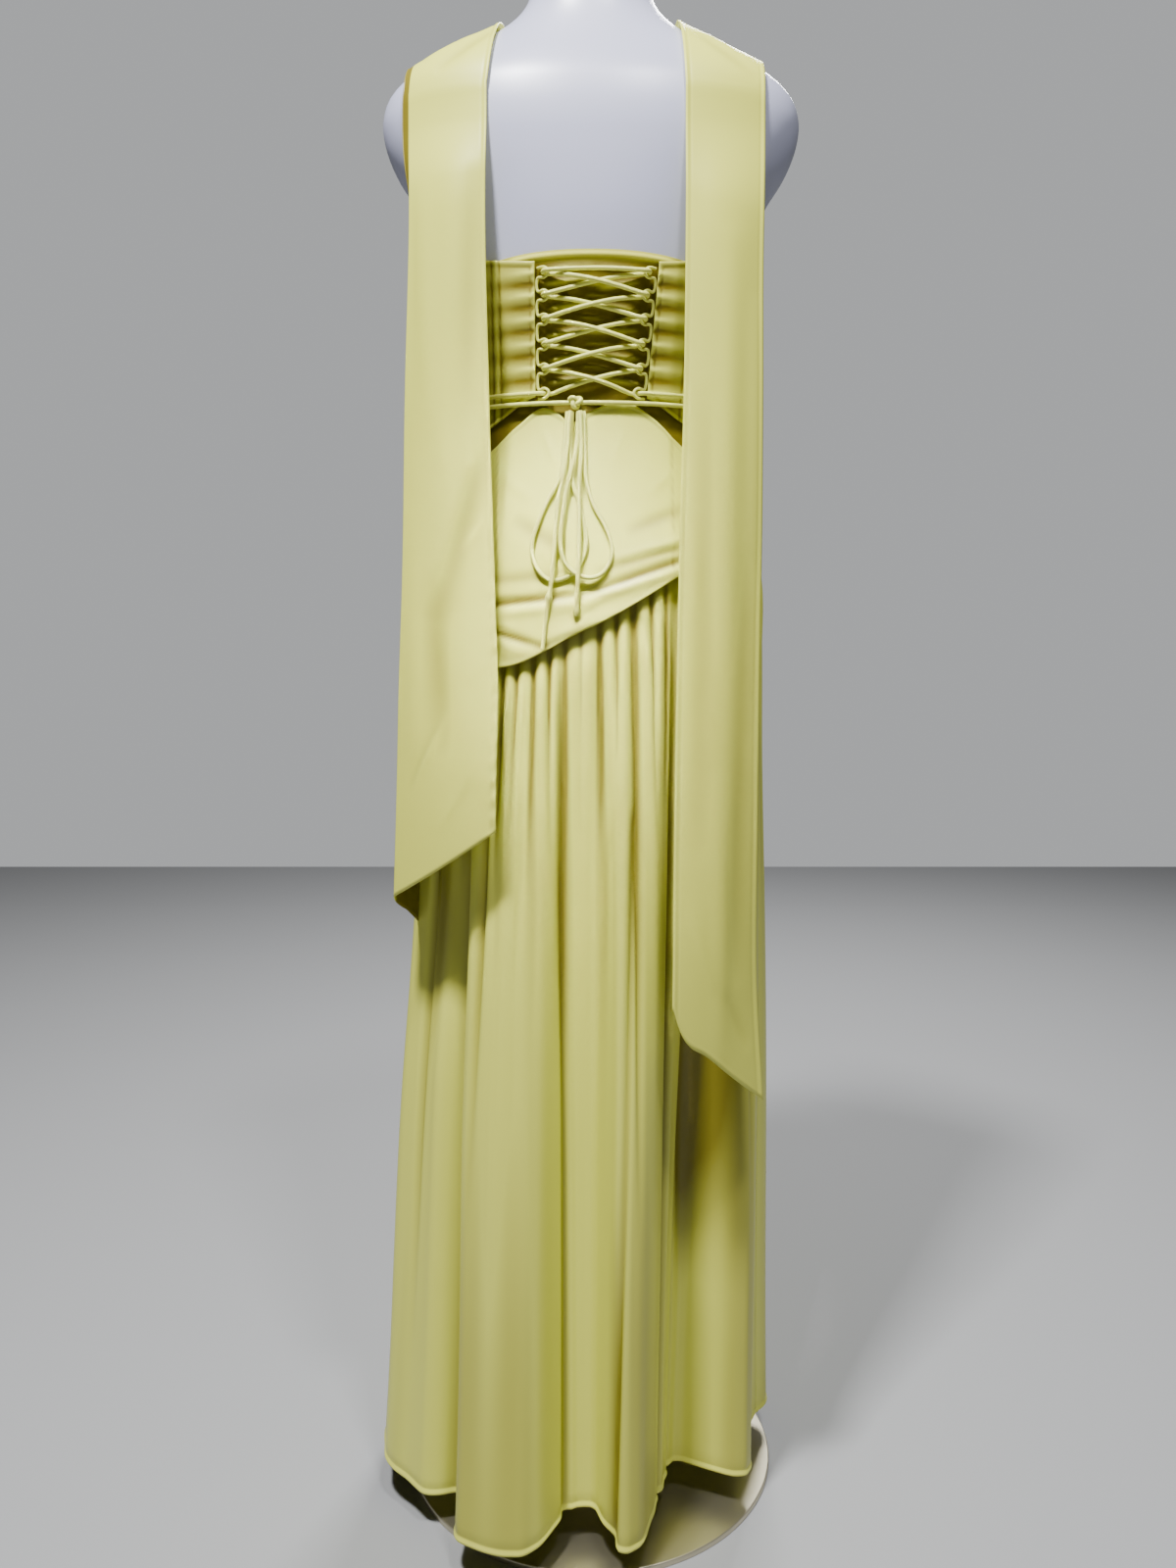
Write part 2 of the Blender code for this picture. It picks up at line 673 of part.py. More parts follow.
def tail_surface(table, bottom, across, turned_in, rows_over, rows_down):
    """One tail's outside, over the shoulder from its front edge and down to its slanting end.

    Across runs from the inner edge at 0 to the outer edge at 1. Columns past 1 are the part
    of the cloth that turns forward round the outer edge, as wide as turned_in low down.
    """
    side = np.sign(table[0, 1])
    offset = TAIL_CLEARANCE + WALL
    near, far = SCARF_EDGE_AT_SHOULDER
    flat, past = np.minimum(across, 1), np.maximum(across - 1, 0) * 2
    grid = []
    for share in np.linspace(0, 1, rows_over):
        inner = near + (abs(table[0, 1]) - near) * share
        outer = far + (abs(table[0, 2]) - far) * share
        x = inner + (outer - inner) * flat + TAIL_TURN_AT_SHOULDER * past
        deepest = (curve_value(FORM, SHOULDER_HEIGHT, 2) + offset) * (
            1 - (x / (curve_value(FORM, SHOULDER_HEIGHT, 1) + offset)) ** SECTION_POWER
        ) ** (1 / SECTION_POWER)
        start, turn = np.radians(TAIL_SWEEP)
        sweep = start + turn * share
        y = np.where(sweep < 0, TAIL_SHOULDER_TOP * np.sin(sweep) / math.sin(start),
                     -deepest * np.sin(sweep))
        grid.append(np.stack([side * x, y, top_height(x, y, offset)], axis=-1))
    arch = TAIL_BULGE * np.sin(math.pi * flat)
    start_x, start_y, last = (grid[-1][:, k] for k in range(3))
    end = bottom[0] + (bottom[1] - bottom[0]) * flat - TAIL_TURN_DROP * past
    for share in np.linspace(0, 1, rows_down + 1)[1:]:
        height = last + (end - last) * share
        hung = np.minimum(height, table[0, 0])
        x = [curve_value(table[::-1], hung, k) for k in (1, 2)]
        y = [curve_value(table[::-1], hung, k) for k in (3, 4)]
        settle = smooth_step(share, 0, 0.16)
        width = TAIL_TURN_AT_SHOULDER + turned_in * smooth_step(share, 0.15, 0.6)
        hung_x = x[0] + (x[1] - x[0]) * flat
        opened = smooth_step(share, 0.05, 0.35)
        hung_x += side * past * (TAIL_TURN_AT_SHOULDER * (1 - settle) - TAIL_TURN_LEAN * opened)
        hung_x += side * TAIL_TURN_ROUND * opened * np.sin(math.pi * np.minimum(2 * past, 1))
        lean = y[0] + (y[1] - y[0]) * flat - arch * settle - WALL
        lean += width * past
        hung_x += side * WALL * past
        blend = smooth_step(share, -0.02, 0.12)
        grid.append(np.stack([
            start_x + (hung_x - start_x) * blend, start_y + (lean - start_y) * blend, height,
        ], axis=-1))
    return np.array(grid)


def scarf_tail(name, table, bottom, turned_in, across):
    outer = tail_surface(table, bottom, across, turned_in, 6, 12)
    away = np.cross(np.gradient(outer, axis=1), np.gradient(outer, axis=0))
    away *= -np.sign(table[0, 1]) / np.linalg.norm(away, axis=-1, keepdims=True)
    cloth(name, outer, outer - away * WALL)


scarf_tail("scarf_tail_right", TAIL_RIGHT, TAIL_RIGHT_BOTTOM, 0, np.linspace(0, 1, 7))
scarf_tail("scarf_tail_left", TAIL_LEFT, TAIL_LEFT_BOTTOM, TAIL_TURN_WIDTH,
           np.append(np.linspace(0, 1, 7), [1.2, 1.5]))


def scarf_front(columns=20, rows=6):
    """The plain stretch over the chest, from shoulder to shoulder, with soft hanging folds."""
    along = np.linspace(-1, 1, columns + 1)[None, :]
    across = np.linspace(0, 1, rows + 1)[:, None]
    near, far = SCARF_EDGE_AT_SHOULDER
    grids = []
    for wall in (0, WALL):
        edge_x = near + (far - near) * across
        edge_y = TAIL_SHOULDER_TOP + 2 * SEAM_GAP
        edge_z = top_height(edge_x, edge_y + 0 * edge_x, TAIL_CLEARANCE + wall)
        middle = SCARF_FRONT_MIDDLE[0] + (SCARF_FRONT_MIDDLE[1] - SCARF_FRONT_MIDDLE[0]) * across
        reach = np.abs(along) ** 1.6
        height = middle + (edge_z - middle) * reach
        x = along * edge_x
        raised = 0.004 * np.sin(2.5 * math.pi * across) ** 2 * (1 - reach)
        offset = TAIL_CLEARANCE + wall + raised
        below = height - (TAIL_CLEARANCE + wall) * smooth_step(reach, 0.3, 1)
        wide = curve_value(FORM, below, 1) + offset
        deep = curve_value(FORM, below, 3) + offset
        y = deep * (1 - (np.abs(x) / wide) ** SECTION_POWER) ** (1 / SECTION_POWER)
        grids.append(np.stack([x, y, height], axis=-1))
    cloth("scarf_front", grids[1], grids[0])


scarf_front()


# The rouleau loops: one turned tube down each laced edge, standing out in a U at each row
def lace_loops(side):
    steps = ((0.0018, 1.0, 0.0045), (0.0075, 1.0, 0.0079), (LOOP_REACH, 0.42, LOOP_OFFSET))
    steps += tuple((reach, -up, out) for reach, up, out in reversed(steps))
    points = []
    for row_height in LACE_ROWS:
        for reach, up, out in steps:
            height = row_height + LOOP_HALF_HEIGHT * up
            points.append(on_back(panel_edge(side, height) - side * reach, height, out))
    word = "left" if side < 0 else "right"
    cord(f"lace_loops_{word}", points, LOOP_RADIUS, sides=6)


lace_loops(-1)
lace_loops(1)


# The lacing: one cord from loop to loop, over each loop's end and back under it
def turn_at(side, row):
    """Points round a loop's end, arriving over it and leaving under it."""
    height = LACE_ROWS[row]
    bend = panel_edge(side, height) - side * LOOP_REACH
    reach = LOOP_RADIUS + 3 * SEAM_GAP + LACE_RADIUS
    points = []
    for degrees in (75, 125, 180, 235, 285):
        turn = math.radians(degrees)
        points.append((
            bend - side * reach * math.cos(turn),
            height + 0.0007 * math.sin(turn),
            LOOP_OFFSET + reach * math.sin(turn),
        ))
    return points


def span(start, end, crossing):
    """Points between two loops, arching out a little where the laces cross."""
    points = []
    for share in (0.2, 0.4, 0.6, 0.8):
        arch = math.sin(math.pi * share)
        level = start[2] + (end[2] - start[2]) * share
        points.append((
            start[0] + (end[0] - start[0]) * share,
            start[1] + (end[1] - start[1]) * share + 0.0016 * arch,
            level + (crossing - level) * arch**0.8,
        ))
    return points


def lacing():
    """Half of the cord runs from the top bar down one way, the other half the other way."""
    last = len(LACE_ROWS) - 1
    halves = []
    for first in (-1, 1):
        side, route = first, turn_at(first, 0)
        for row in range(1, last + 1):
            side = -side
            crossing = 0.0086 if side * (-1) ** row > 0 else 0.0132
            arrival = turn_at(side, row) if row < last else leaving(side)
            route += span(route[-1], arrival[0], crossing) + arrival
        halves.append(route)
    bar = span(halves[0][0], halves[1][0], 0.0100)
    whole = halves[0][::-1] + bar + halves[1]
    cord("lacing", [on_back(*p) for p in whole], LACE_RADIUS)


def leaving(side):
    """At the last row the cord comes out through the loop and off along the waist."""
    height = LACE_ROWS[-1]
    edge = panel_edge(side, height)
    return [(edge - side * reach, height + drop, out) for reach, drop, out in
            ((0.0150, 0.0000, 0.0050), (0.0098, 0.0000, 0.0050), (0.0052, 0.0, 0.0080),
             (-0.0010, 0.0, 0.0090), (-0.0060, -0.0002, 0.0088))]


lacing()


# The cord's two ends go round the waist and come back to the knot
def waist_wrap(name, side, spacing=0.021):
    start_x = panel_edge(side, LACE_ROWS[-1]) + side * 0.0064
    start = float(angle_at(start_x, LACE_ROWS[-1], LACE_WAIST_OFFSET)) * side
    end_x = KNOT_PLACE[0] - side * (KNOT_RADII[0] + SEAM_GAP)
    end = 360 + float(angle_at(end_x, KNOT_PLACE[1], LACE_WAIST_OFFSET)) * side
    share = np.linspace(0, 1, 60)
    angles = start + (end - start) * share
    height = LACE_ROWS[-1] - 0.0002 - LACE_WAIST_DROP * smooth_step(share, 0.1, 0.9)
    lift = 0.0 if side > 0 else LACE_CROSSING_LIFT
    rise = smooth_step(share, 0.05, 0.35) * (1 - smooth_step(share, 0.65, 0.9))
    offset = LACE_WAIST_OFFSET + lift * rise
    points = around(angles * side, height, offset)
    cord(name, smooth_route(points, spacing), LACE_RADIUS)


waist_wrap("waist_cord_right", 1)
waist_wrap("waist_cord_left", -1)


# The knot, the bow's two loops and the two hanging ends
def knot():
    solid = bmesh.new()
    bmesh.ops.create_uvsphere(solid, u_segments=10, v_segments=7, radius=1)
    for vertex in solid.verts:
        vertex.co.x *= KNOT_RADII[0]
        vertex.co.y *= KNOT_RADII[2]
        vertex.co.z *= KNOT_RADII[1]
    mesh = bpy.data.meshes.new("lace_knot")
    solid.to_mesh(mesh)
    solid.free()
    mesh.materials.append(LACE)
    mesh.shade_smooth()
    made = bpy.data.objects.new("lace_knot", mesh)
    made.location = on_back(*KNOT_PLACE)
    parts.objects.link(made)


knot()
for name, route in (
    ("bow_loop_left", BOW_LEFT_ROUTE),
    ("bow_loop_right", BOW_RIGHT_ROUTE),
    ("lace_end_left", END_LEFT_ROUTE),
    ("lace_end_right", END_RIGHT_ROUTE),
):
    cord(name, smooth_route([on_back(*p) for p in route], 0.0125), LACE_RADIUS)
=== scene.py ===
"""Looks of an asymmetric lace-up maxi gown with its matching scarf, on a limbless dress form.

Metres, +Z up, the laced back of the gown faces -Y. Angles round the body are degrees from
the centre back, positive towards +X.
"""

import json
import math

import bpy
import numpy as np
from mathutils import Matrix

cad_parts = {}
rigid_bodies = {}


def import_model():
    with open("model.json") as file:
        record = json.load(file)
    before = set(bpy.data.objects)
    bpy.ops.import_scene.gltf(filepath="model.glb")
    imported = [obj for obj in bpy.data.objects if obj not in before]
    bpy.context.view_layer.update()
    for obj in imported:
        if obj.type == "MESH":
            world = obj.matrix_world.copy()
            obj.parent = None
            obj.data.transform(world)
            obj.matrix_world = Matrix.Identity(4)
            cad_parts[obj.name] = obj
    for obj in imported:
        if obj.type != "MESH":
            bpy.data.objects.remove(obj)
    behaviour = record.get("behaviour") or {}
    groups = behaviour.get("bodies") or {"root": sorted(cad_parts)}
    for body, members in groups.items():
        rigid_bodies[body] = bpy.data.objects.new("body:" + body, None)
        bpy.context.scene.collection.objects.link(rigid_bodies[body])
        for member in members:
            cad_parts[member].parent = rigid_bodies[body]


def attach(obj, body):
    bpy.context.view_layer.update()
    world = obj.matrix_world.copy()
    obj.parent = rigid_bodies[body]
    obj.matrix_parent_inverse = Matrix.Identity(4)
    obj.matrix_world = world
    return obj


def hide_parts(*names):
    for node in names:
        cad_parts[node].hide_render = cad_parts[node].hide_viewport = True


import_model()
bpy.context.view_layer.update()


# The studio: a pale matt floor and a soft grey surround. Two lamps stand high behind the camera,
# the left one stronger, a narrow one brightens the basque and a wide one lights the front side.
# The camera stands at chest height and looks a little down.
def linear(colour):
    """An sRGB hex colour as linear light: each channel over 12.92, or its shifted 2.4th power."""
    channel = np.array([int(colour[i : i + 2], 16) for i in (1, 3, 5)]) / 255
    low, high = channel / 12.92, ((channel + 0.055) / 1.055) ** 2.4
    return (*np.where(channel <= 0.04045, low, high).tolist(), 1.0)


def add_node(tree, kind, settings=(), links=()):
    """Adds one node, gives its properties and sockets their values and links its inputs."""
    node = tree.nodes.new(kind)
    for name, value in dict(settings).items():
        if name in node.inputs:
            node.inputs[name].default_value = value
        else:
            setattr(node, name, value)
    for name, output in dict(links).items():
        tree.links.new(output, node.inputs[name])
    return node


def finish(name, colour, **sockets):
    """A material with one shader, whose sockets take the colour and each named value."""
    made = bpy.data.materials.new(name)
    made.use_nodes = True
    shader = made.node_tree.nodes["Principled BSDF"]
    shader.inputs["Base Color"].default_value = linear(colour)
    for socket, value in sockets.items():
        shader.inputs[socket.replace("_", " ")].default_value = value
    return made


def add_mesh(name, points, faces, material):
    """A smooth mesh from an array of points and a list of faces."""
    mesh = bpy.data.meshes.new(name)
    mesh.from_pydata(points.reshape(-1, 3).tolist(), [], faces)
    mesh.materials.append(material)
    mesh.shade_smooth()
    made = bpy.data.objects.new(name, mesh)
    bpy.context.scene.collection.objects.link(made)
    return made


FLOOR_REACH = 3.2
floor_corners = np.array([(-1, -1, 0), (1, -1, 0), (1, 1, 0), (-1, 1, 0)]) * FLOOR_REACH
floor_paint = finish("pale_matt_floor", "#A8A9AB", Roughness=0.75)
studio_floor = add_mesh("studio_floor", floor_corners, [(0, 1, 2, 3)], floor_paint)
studio_floor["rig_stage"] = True

LIGHTS = {
    # place, size, watts, height that it points at, spread in degrees
    "soft_light_left": ((-0.54, -1.02, 3.05), 0.26, 112, 0.85, 180),
    "soft_light_right": ((0.40, -1.20, 3.05), 0.26, 32, 0.85, 180),
    "soft_light_basque": ((-0.20, -1.00, 2.75), 0.10, 0.35, 0.66, 9),
    "soft_light_front_side": ((0.5, 2.0, 2.7), 0.7, 76, 0.85, 180),
}
for light_name, (place, side, watts, aimed_at, spread) in LIGHTS.items():
    lamp = bpy.data.lights.new(light_name, "AREA")
    lamp.size, lamp.energy, lamp.spread = side, watts, math.radians(spread)
    holder = bpy.data.objects.new(light_name, lamp)
    holder.location = place
    holder.visible_camera = False
    aim = np.array([0, 0, aimed_at]) - np.array(place)
    level = math.hypot(aim[0], aim[1])
    holder.rotation_euler = (math.atan2(level, -aim[2]), 0, math.atan2(-aim[0], aim[1]))
    bpy.context.scene.collection.objects.link(holder)

surround = bpy.data.worlds.new("soft_grey_surround")
surround.use_nodes = True
# The surround's strength on the cloth, in the polished parts and behind them
in_cloth, in_polish, behind = 0.025, 0.20, 0.62
ray = add_node(surround.node_tree, "ShaderNodeLightPath")
met = add_node(
    surround.node_tree, "ShaderNodeMapRange", {"To Min": in_polish, "To Max": in_cloth},
    {"Value": ray.outputs["Is Diffuse Ray"]},
)
strength = add_node(
    surround.node_tree, "ShaderNodeMapRange", {"To Max": behind},
    {"Value": ray.outputs["Is Camera Ray"], "To Min": met.outputs["Result"]},
)
sky = surround.node_tree.nodes["Background"]
sky.inputs["Color"].default_value = linear("#DADCDE")
surround.node_tree.links.new(strength.outputs["Result"], sky.inputs["Strength"])
bpy.context.scene.world = surround

CAMERA_PLACE, DOWNWARD_TILT = (-0.0028, -1.263, 0.896), 7.58
LENS, SENSOR_WIDTH = 28.8, 36
camera_data = bpy.data.cameras.new("camera")
camera_data.lens, camera_data.sensor_width = LENS, SENSOR_WIDTH
camera = bpy.data.objects.new("camera", camera_data)
camera.location = CAMERA_PLACE
camera.rotation_euler = (math.radians(90 - DOWNWARD_TILT), 0, 0)
bpy.context.scene.collection.objects.link(camera)
bpy.context.scene.camera = camera


# The stand: a round plate of polished steel, its turned socket and the pole, each a profile spun
# round the axis. Bare metal mirrors what stands over it, blurred by the fine wear of its polish.
def grid_faces(rows, columns, wrap=False):
    """Quads between neighbouring points of a grid, and across its last column where it wraps."""
    number = np.arange(rows * columns).reshape(rows, columns)
    if wrap:
        number = np.concatenate([number, number[:, :1]], axis=1)
    quads = np.stack(
        [number[:-1, :-1], number[:-1, 1:], number[1:, 1:], number[1:, :-1]], axis=-1
    )
    return quads.reshape(-1, 4).tolist()


def closed_faces(rows, columns):
    """The quads of a grid that wraps round, and one flat face over each of its two ends."""
    number = list(range(rows * columns))
    return grid_faces(rows, columns, wrap=True) + [number[:columns][::-1], number[-columns:]]


def spun(name, profile, material, columns=96):
    """Each profile point, radius and height, is carried round the axis by cosine and sine."""
    radius, height = np.array(profile, float).T[..., None]
    turn = np.arange(columns) * 2 * math.pi / columns
    points = np.stack([radius * np.cos(turn), radius * np.sin(turn), height + 0 * turn], axis=-1)
    return add_mesh(name, points, closed_faces(len(profile), columns), material)


def rounded_edge(radius, height, outward, upward, size, steps=6):
    """A quarter circle of profile points from the upright side to the level face."""
    turn = np.linspace(0, math.pi / 2, steps)
    across = radius + outward * size * (np.cos(turn) - 1)
    up = height + upward * size * (np.sin(turn) - 1)
    return list(zip(across.tolist(), up.tolist()))


POLISHED_STEEL = finish("polished_steel", "#CDC6AE", Metallic=1.0, Roughness=0.42)
PLATE_RADIUS, PLATE_TOP = 0.1925, 0.006
plate = spun(
    "plate",
    rounded_edge(PLATE_RADIUS, 0.0, 1, -1, 0.0010)[::-1]
    + rounded_edge(PLATE_RADIUS, PLATE_TOP, 1, 1, 0.0014)
    + [(radius, PLATE_TOP) for radius in (0.150, 0.100, 0.040)],
    POLISHED_STEEL,
    columns=160,
)
SOCKET_FOOT, SOCKET_RADIUS, SOCKET_TOP = 0.0320, 0.0312, 0.030
socket = spun(
    "socket",
    [(SOCKET_FOOT, 0.0063), (SOCKET_FOOT, 0.0075), (SOCKET_RADIUS, 0.0085), (SOCKET_RADIUS, 0.0240)]
    + rounded_edge(SOCKET_RADIUS, SOCKET_TOP, 1, 1, 0.0035),
    POLISHED_STEEL,
)
POLE_RADIUS = 0.016
pole_profile = [(POLE_RADIUS, height) for height in (0.0303, 0.2, 0.5, 0.7700)]
pole = spun("pole", pole_profile, POLISHED_STEEL, columns=48)
for piece, node in ((plate, "base_plate"), (socket, "pole_socket"), (pole, "form_pole")):
    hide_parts(node)


# The dress form: a hollow moulded shell with a neck and rounded shoulder caps, sprayed with a
# white lacquer that has a faint cool tint and a satin gloss. A polished cap closes the neck.
FORM = np.array([
    # height, half width, depth of the back, depth of the front
    (0.7705, 0.110, 0.076, 0.072),
    (0.7850, 0.136, 0.098, 0.090),
    (0.8200, 0.154, 0.113, 0.102),
    (0.9000, 0.159, 0.119, 0.106),
    (0.9600, 0.152, 0.113, 0.104),
    (1.0200, 0.134, 0.098, 0.097),
    (1.0800, 0.118, 0.086, 0.088),
    (1.1200, 0.121, 0.087, 0.092),
    (1.1700, 0.136, 0.093, 0.108),
    (1.2150, 0.146, 0.098, 0.122),
    (1.2550, 0.154, 0.101, 0.119),
    (1.2850, 0.168, 0.101, 0.110),
    (1.3100, 0.184, 0.100, 0.102),
    (1.3350, 0.194, 0.098, 0.096),
    (1.3580, 0.196, 0.094, 0.090),
    (1.3780, 0.188, 0.088, 0.082),
    (1.3940, 0.170, 0.080, 0.074),
    (1.4100, 0.137, 0.071, 0.066),
    (1.4240, 0.104, 0.064, 0.060),
    (1.4380, 0.080, 0.058, 0.056),
    (1.4550, 0.063, 0.053, 0.053),
    (1.4750, 0.056, 0.050, 0.050),
    (1.4967, 0.055, 0.049, 0.049),
])
SECTION_POWER = 2.2
NECK_TOP = 1.500


def curve_value(table, at, column=1):
    """A smooth curve through a table's column: cubic pieces that share slopes at each row."""
    xs, ys = table[:, 0], table[:, column]
    at = np.clip(at, xs[0], xs[-1])
    slopes = np.gradient(ys, xs)
    i = np.clip(np.searchsorted(xs, at, side="right") - 1, 0, len(xs) - 2)
    step = xs[i + 1] - xs[i]
    t = (at - xs[i]) / step
    return (
        (2 * t**3 - 3 * t**2 + 1) * ys[i]
        + (t**3 - 2 * t**2 + t) * step * slopes[i]
        + (3 * t**2 - 2 * t**3) * ys[i + 1]
        + (t**3 - t**2) * step * slopes[i + 1]
    )


def smooth_step(value, low, high):
    """Rises from 0 at low to 1 at high, level at both."""
    t = np.clip((value - low) / (high - low), 0, 1)
    return t * t * (3 - 2 * t)


def powered(value):
    """A sine or cosine raised to 2 over the section's power, with its sign kept."""
    return np.sign(value) * np.abs(value) ** (2 / SECTION_POWER)


def around(angle, height, offset):
    """A superellipse at each height: half width times powered sine, depth times powered cosine,
    both widened by the offset."""
    angle, height, offset = np.broadcast_arrays(np.radians(angle), height, offset)
    wide = curve_value(FORM, height, 1) + offset
    deep = np.where(
        np.cos(angle) >= 0, curve_value(FORM, height, 2), curve_value(FORM, height, 3)
    )
    return np.stack(
        [wide * powered(np.sin(angle)), -(deep + offset) * powered(np.cos(angle)), height],
        axis=-1,
    )


FORM_LACQUER = finish(
    "white_satin_lacquer", "#C4C6DE", Roughness=0.36, Coat_Weight=0.25, Coat_Roughness=0.3
)
FORM_ROWS, FORM_COLUMNS = 120, 120
form_heights = np.linspace(FORM[0, 0], FORM[-1, 0], FORM_ROWS)[:, None]
form_turn = np.arange(FORM_COLUMNS)[None, :] * 360 / FORM_COLUMNS
form_shell = add_mesh(
    "form_shell", around(form_turn, form_heights, 0), closed_faces(FORM_ROWS, FORM_COLUMNS),
    FORM_LACQUER,
)
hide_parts("dress_form")

cap_profile = np.array([
    # share of the neck's width, height below the top
    (1.000, 0.0030),
    (1.010, 0.0022),
    (1.006, 0.0008),
    (0.980, 0.0001),
    (0.900, 0.0000),
    (0.500, 0.0000),
])
CAP_COLUMNS = 96
cap_ring = around(np.arange(CAP_COLUMNS)[None, :] * 360 / CAP_COLUMNS, FORM[-1, 0], 0.0004)
cap_points = np.repeat(cap_ring, len(cap_profile), axis=0)
cap_points[..., :2] *= cap_profile[:, :1, None]
cap_points[..., 2] = NECK_TOP - cap_profile[:, 1:]
cap_disc = add_mesh("cap_disc", cap_points, closed_faces(*cap_points.shape[:2]), POLISHED_STEEL)
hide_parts("neck_cap")


# The underlay behind the lacing: a plain strip of the same crepe with a rolled top edge, pushed
# into puffy cross folds by the tightened cord. Crepe is a fine twisted-yarn cloth; its satin
# side has a soft broad sheen. Its folds are darkened to olive by painted shade in the colour.
def crepe_finish(name, colour, shade_colour, grain=0.0011, **sockets):
    """The colour gives way to the shade colour by each point's painted shade, a painted darkening
    of the folds' hollows, and the bump is a fine noise as coarse as the twisted yarn."""
    made = finish(name, colour, **sockets)
    tree = made.node_tree
    deep = add_node(tree, "ShaderNodeAttribute", {"attribute_name": "painted_fold_shade"})
    cloth = add_node(tree, "ShaderNodeMix", {"data_type": "RGBA"}, {"Factor": deep.outputs["Fac"]})
    cloth.inputs[6].default_value, cloth.inputs[7].default_value = linear(colour), linear(shade_colour)
    tree.links.new(cloth.outputs[2], tree.nodes["Principled BSDF"].inputs["Base Color"])
    place = add_node(tree, "ShaderNodeTexCoord")
    yarn = add_node(
        tree, "ShaderNodeTexNoise", {"Scale": 1 / grain, "Detail": 2.0, "Roughness": 0.6},
        {"Vector": place.outputs["Object"]},
    )
    relief = add_node(
        tree, "ShaderNodeBump", {"Strength": 0.22, "Distance": 0.0002},
        {"Height": yarn.outputs["Fac"]},
    )
    tree.links.new(relief.outputs["Normal"], tree.nodes["Principled BSDF"].inputs["Normal"])
    return made


# The second colour of each crepe is painted shade: the colour its folds' hollows are darkened
# towards
SATIN_CREPE = crepe_finish(
    "butter_satin_crepe", "#E8EA66", "#766810", Roughness=0.42, Specular_IOR_Level=0.42
)
# The underlay's crepe is scrunched behind the lacing, so it shows less of the satin's sheen
SCRUNCHED_CREPE = crepe_finish(
    "scrunched_satin_crepe", "#E0DE58", "#6A5E06", Roughness=0.6, Specular_IOR_Level=0.18
)


def raised(grid, height):
    """Moves each point along its normal, the cross product of the steps across and up."""
    across, up = np.gradient(grid, axis=1), np.gradient(grid, axis=0)
    normal = np.cross(across, up)
    normal /= np.maximum(np.linalg.norm(normal, axis=-1, keepdims=True), 1e-12)
    return grid + normal * np.asarray(height)[..., None]


def bell(distance, width):
    """A bell curve: e to the minus square of the distance over the width."""
    return np.exp(-((distance / width) ** 2))


def creased(across, up, rows):
    """Ridges above 0 and troughs below: a bell curve over the distance from each line, from
    its first end to its second, that fades out towards both."""
    total = 0.0
    for start, rise, end, fall, width, height in rows:
        run_x, run_z = end - start, fall - rise
        length = math.hypot(run_x, run_z)
        along = ((across - start) * run_x + (up - rise) * run_z) / length**2
        aside = ((across - start) * run_z - (up - rise) * run_x) / length
        fade = np.sin(math.pi * np.clip(along, 0, 1)) ** 0.7
        total = total + height * fade * bell(aside, width)
    return total


def cloth_shell(name, grid, material, painted_shade, thickness=0.0011):
    """A grid's outer face with its wall behind it, inwards by the thickness. Each point carries its
    painted shade, from 0 for none to 1 for the full shade colour."""
    made = add_mesh(name, grid, grid_faces(*grid.shape[:2]), material)
    mark = made.data.attributes.new("painted_fold_shade", "FLOAT", "POINT")
    mark.data.foreach_set("value", np.clip(painted_shade + 0 * grid[..., 0], 0, 1).ravel())
    wall = made.modifiers.new("cloth thickness", "SOLIDIFY")
    wall.thickness, wall.offset = thickness, -1
    return made


# Heights of the loops at the laced edges
LACE_ROWS = (1.199, 1.180, 1.160, 1.139, 1.118, 1.097)
UNDERLAY_SIDE, UNDERLAY_LOW, UNDERLAY_TOP, UNDERLAY_OFFSET = 85.0, 1.0250, 1.2190, 0.0024
UNDERLAY_FOLDS = np.array([
    # x, height, x, height, width, height of the fold
    (-0.046, 1.2030, 0.002, 1.2050, 0.0026, 0.0020),
    (-0.008, 1.2050, 0.046, 1.2025, 0.0024, 0.0018),
    (-0.046, 1.1895, -0.004, 1.1940, 0.0030, 0.0030),
    (-0.014, 1.1930, 0.024, 1.1880, 0.0030, 0.0034),
    (0.004, 1.1850, 0.048, 1.1930, 0.0026, 0.0028),
    (-0.048, 1.1800, -0.018, 1.1770, 0.0022, 0.0020),
    (-0.010, 1.1815, 0.018, 1.1795, 0.0018, 0.0016),
    (0.022, 1.1800, 0.050, 1.1770, 0.0022, 0.0020),
    (-0.040, 1.1690, 0.004, 1.1740, 0.0032, 0.0032),
    (-0.006, 1.1740, 0.044, 1.1670, 0.0030, 0.0030),
    (-0.048, 1.1640, -0.020, 1.1560, 0.0022, 0.0022),
    (-0.016, 1.1630, 0.016, 1.1600, 0.0018, 0.0018),
    (0.018, 1.1580, 0.050, 1.1640, 0.0024, 0.0024),
    (-0.044, 1.1460, 0.008, 1.1520, 0.0032, 0.0032),
    (-0.004, 1.1490, 0.046, 1.1520, 0.0028, 0.0028),
    (-0.048, 1.1400, -0.014, 1.1360, 0.0022, 0.0022),
    (-0.010, 1.1415, 0.022, 1.1390, 0.0018, 0.0018),
    (0.022, 1.1400, 0.052, 1.1350, 0.0022, 0.0020),
    (-0.040, 1.1250, 0.010, 1.1320, 0.0032, 0.0032),
    (-0.002, 1.1310, 0.050, 1.1260, 0.0028, 0.0030),
    (-0.048, 1.1190, -0.016, 1.1160, 0.0022, 0.0022),
    (-0.012, 1.1210, 0.020, 1.1180, 0.0018, 0.0016),
    (0.020, 1.1160, 0.052, 1.1210, 0.0022, 0.0022),
    (-0.042, 1.1060, 0.008, 1.1100, 0.0032, 0.0030),
    (-0.004, 1.1110, 0.050, 1.1050, 0.0028, 0.0028),
    (-0.044, 1.0880, -0.060, 1.0560, 0.0040, 0.0014),
    (0.046, 1.0900, 0.066, 1.0600, 0.0040, 0.0014),
])
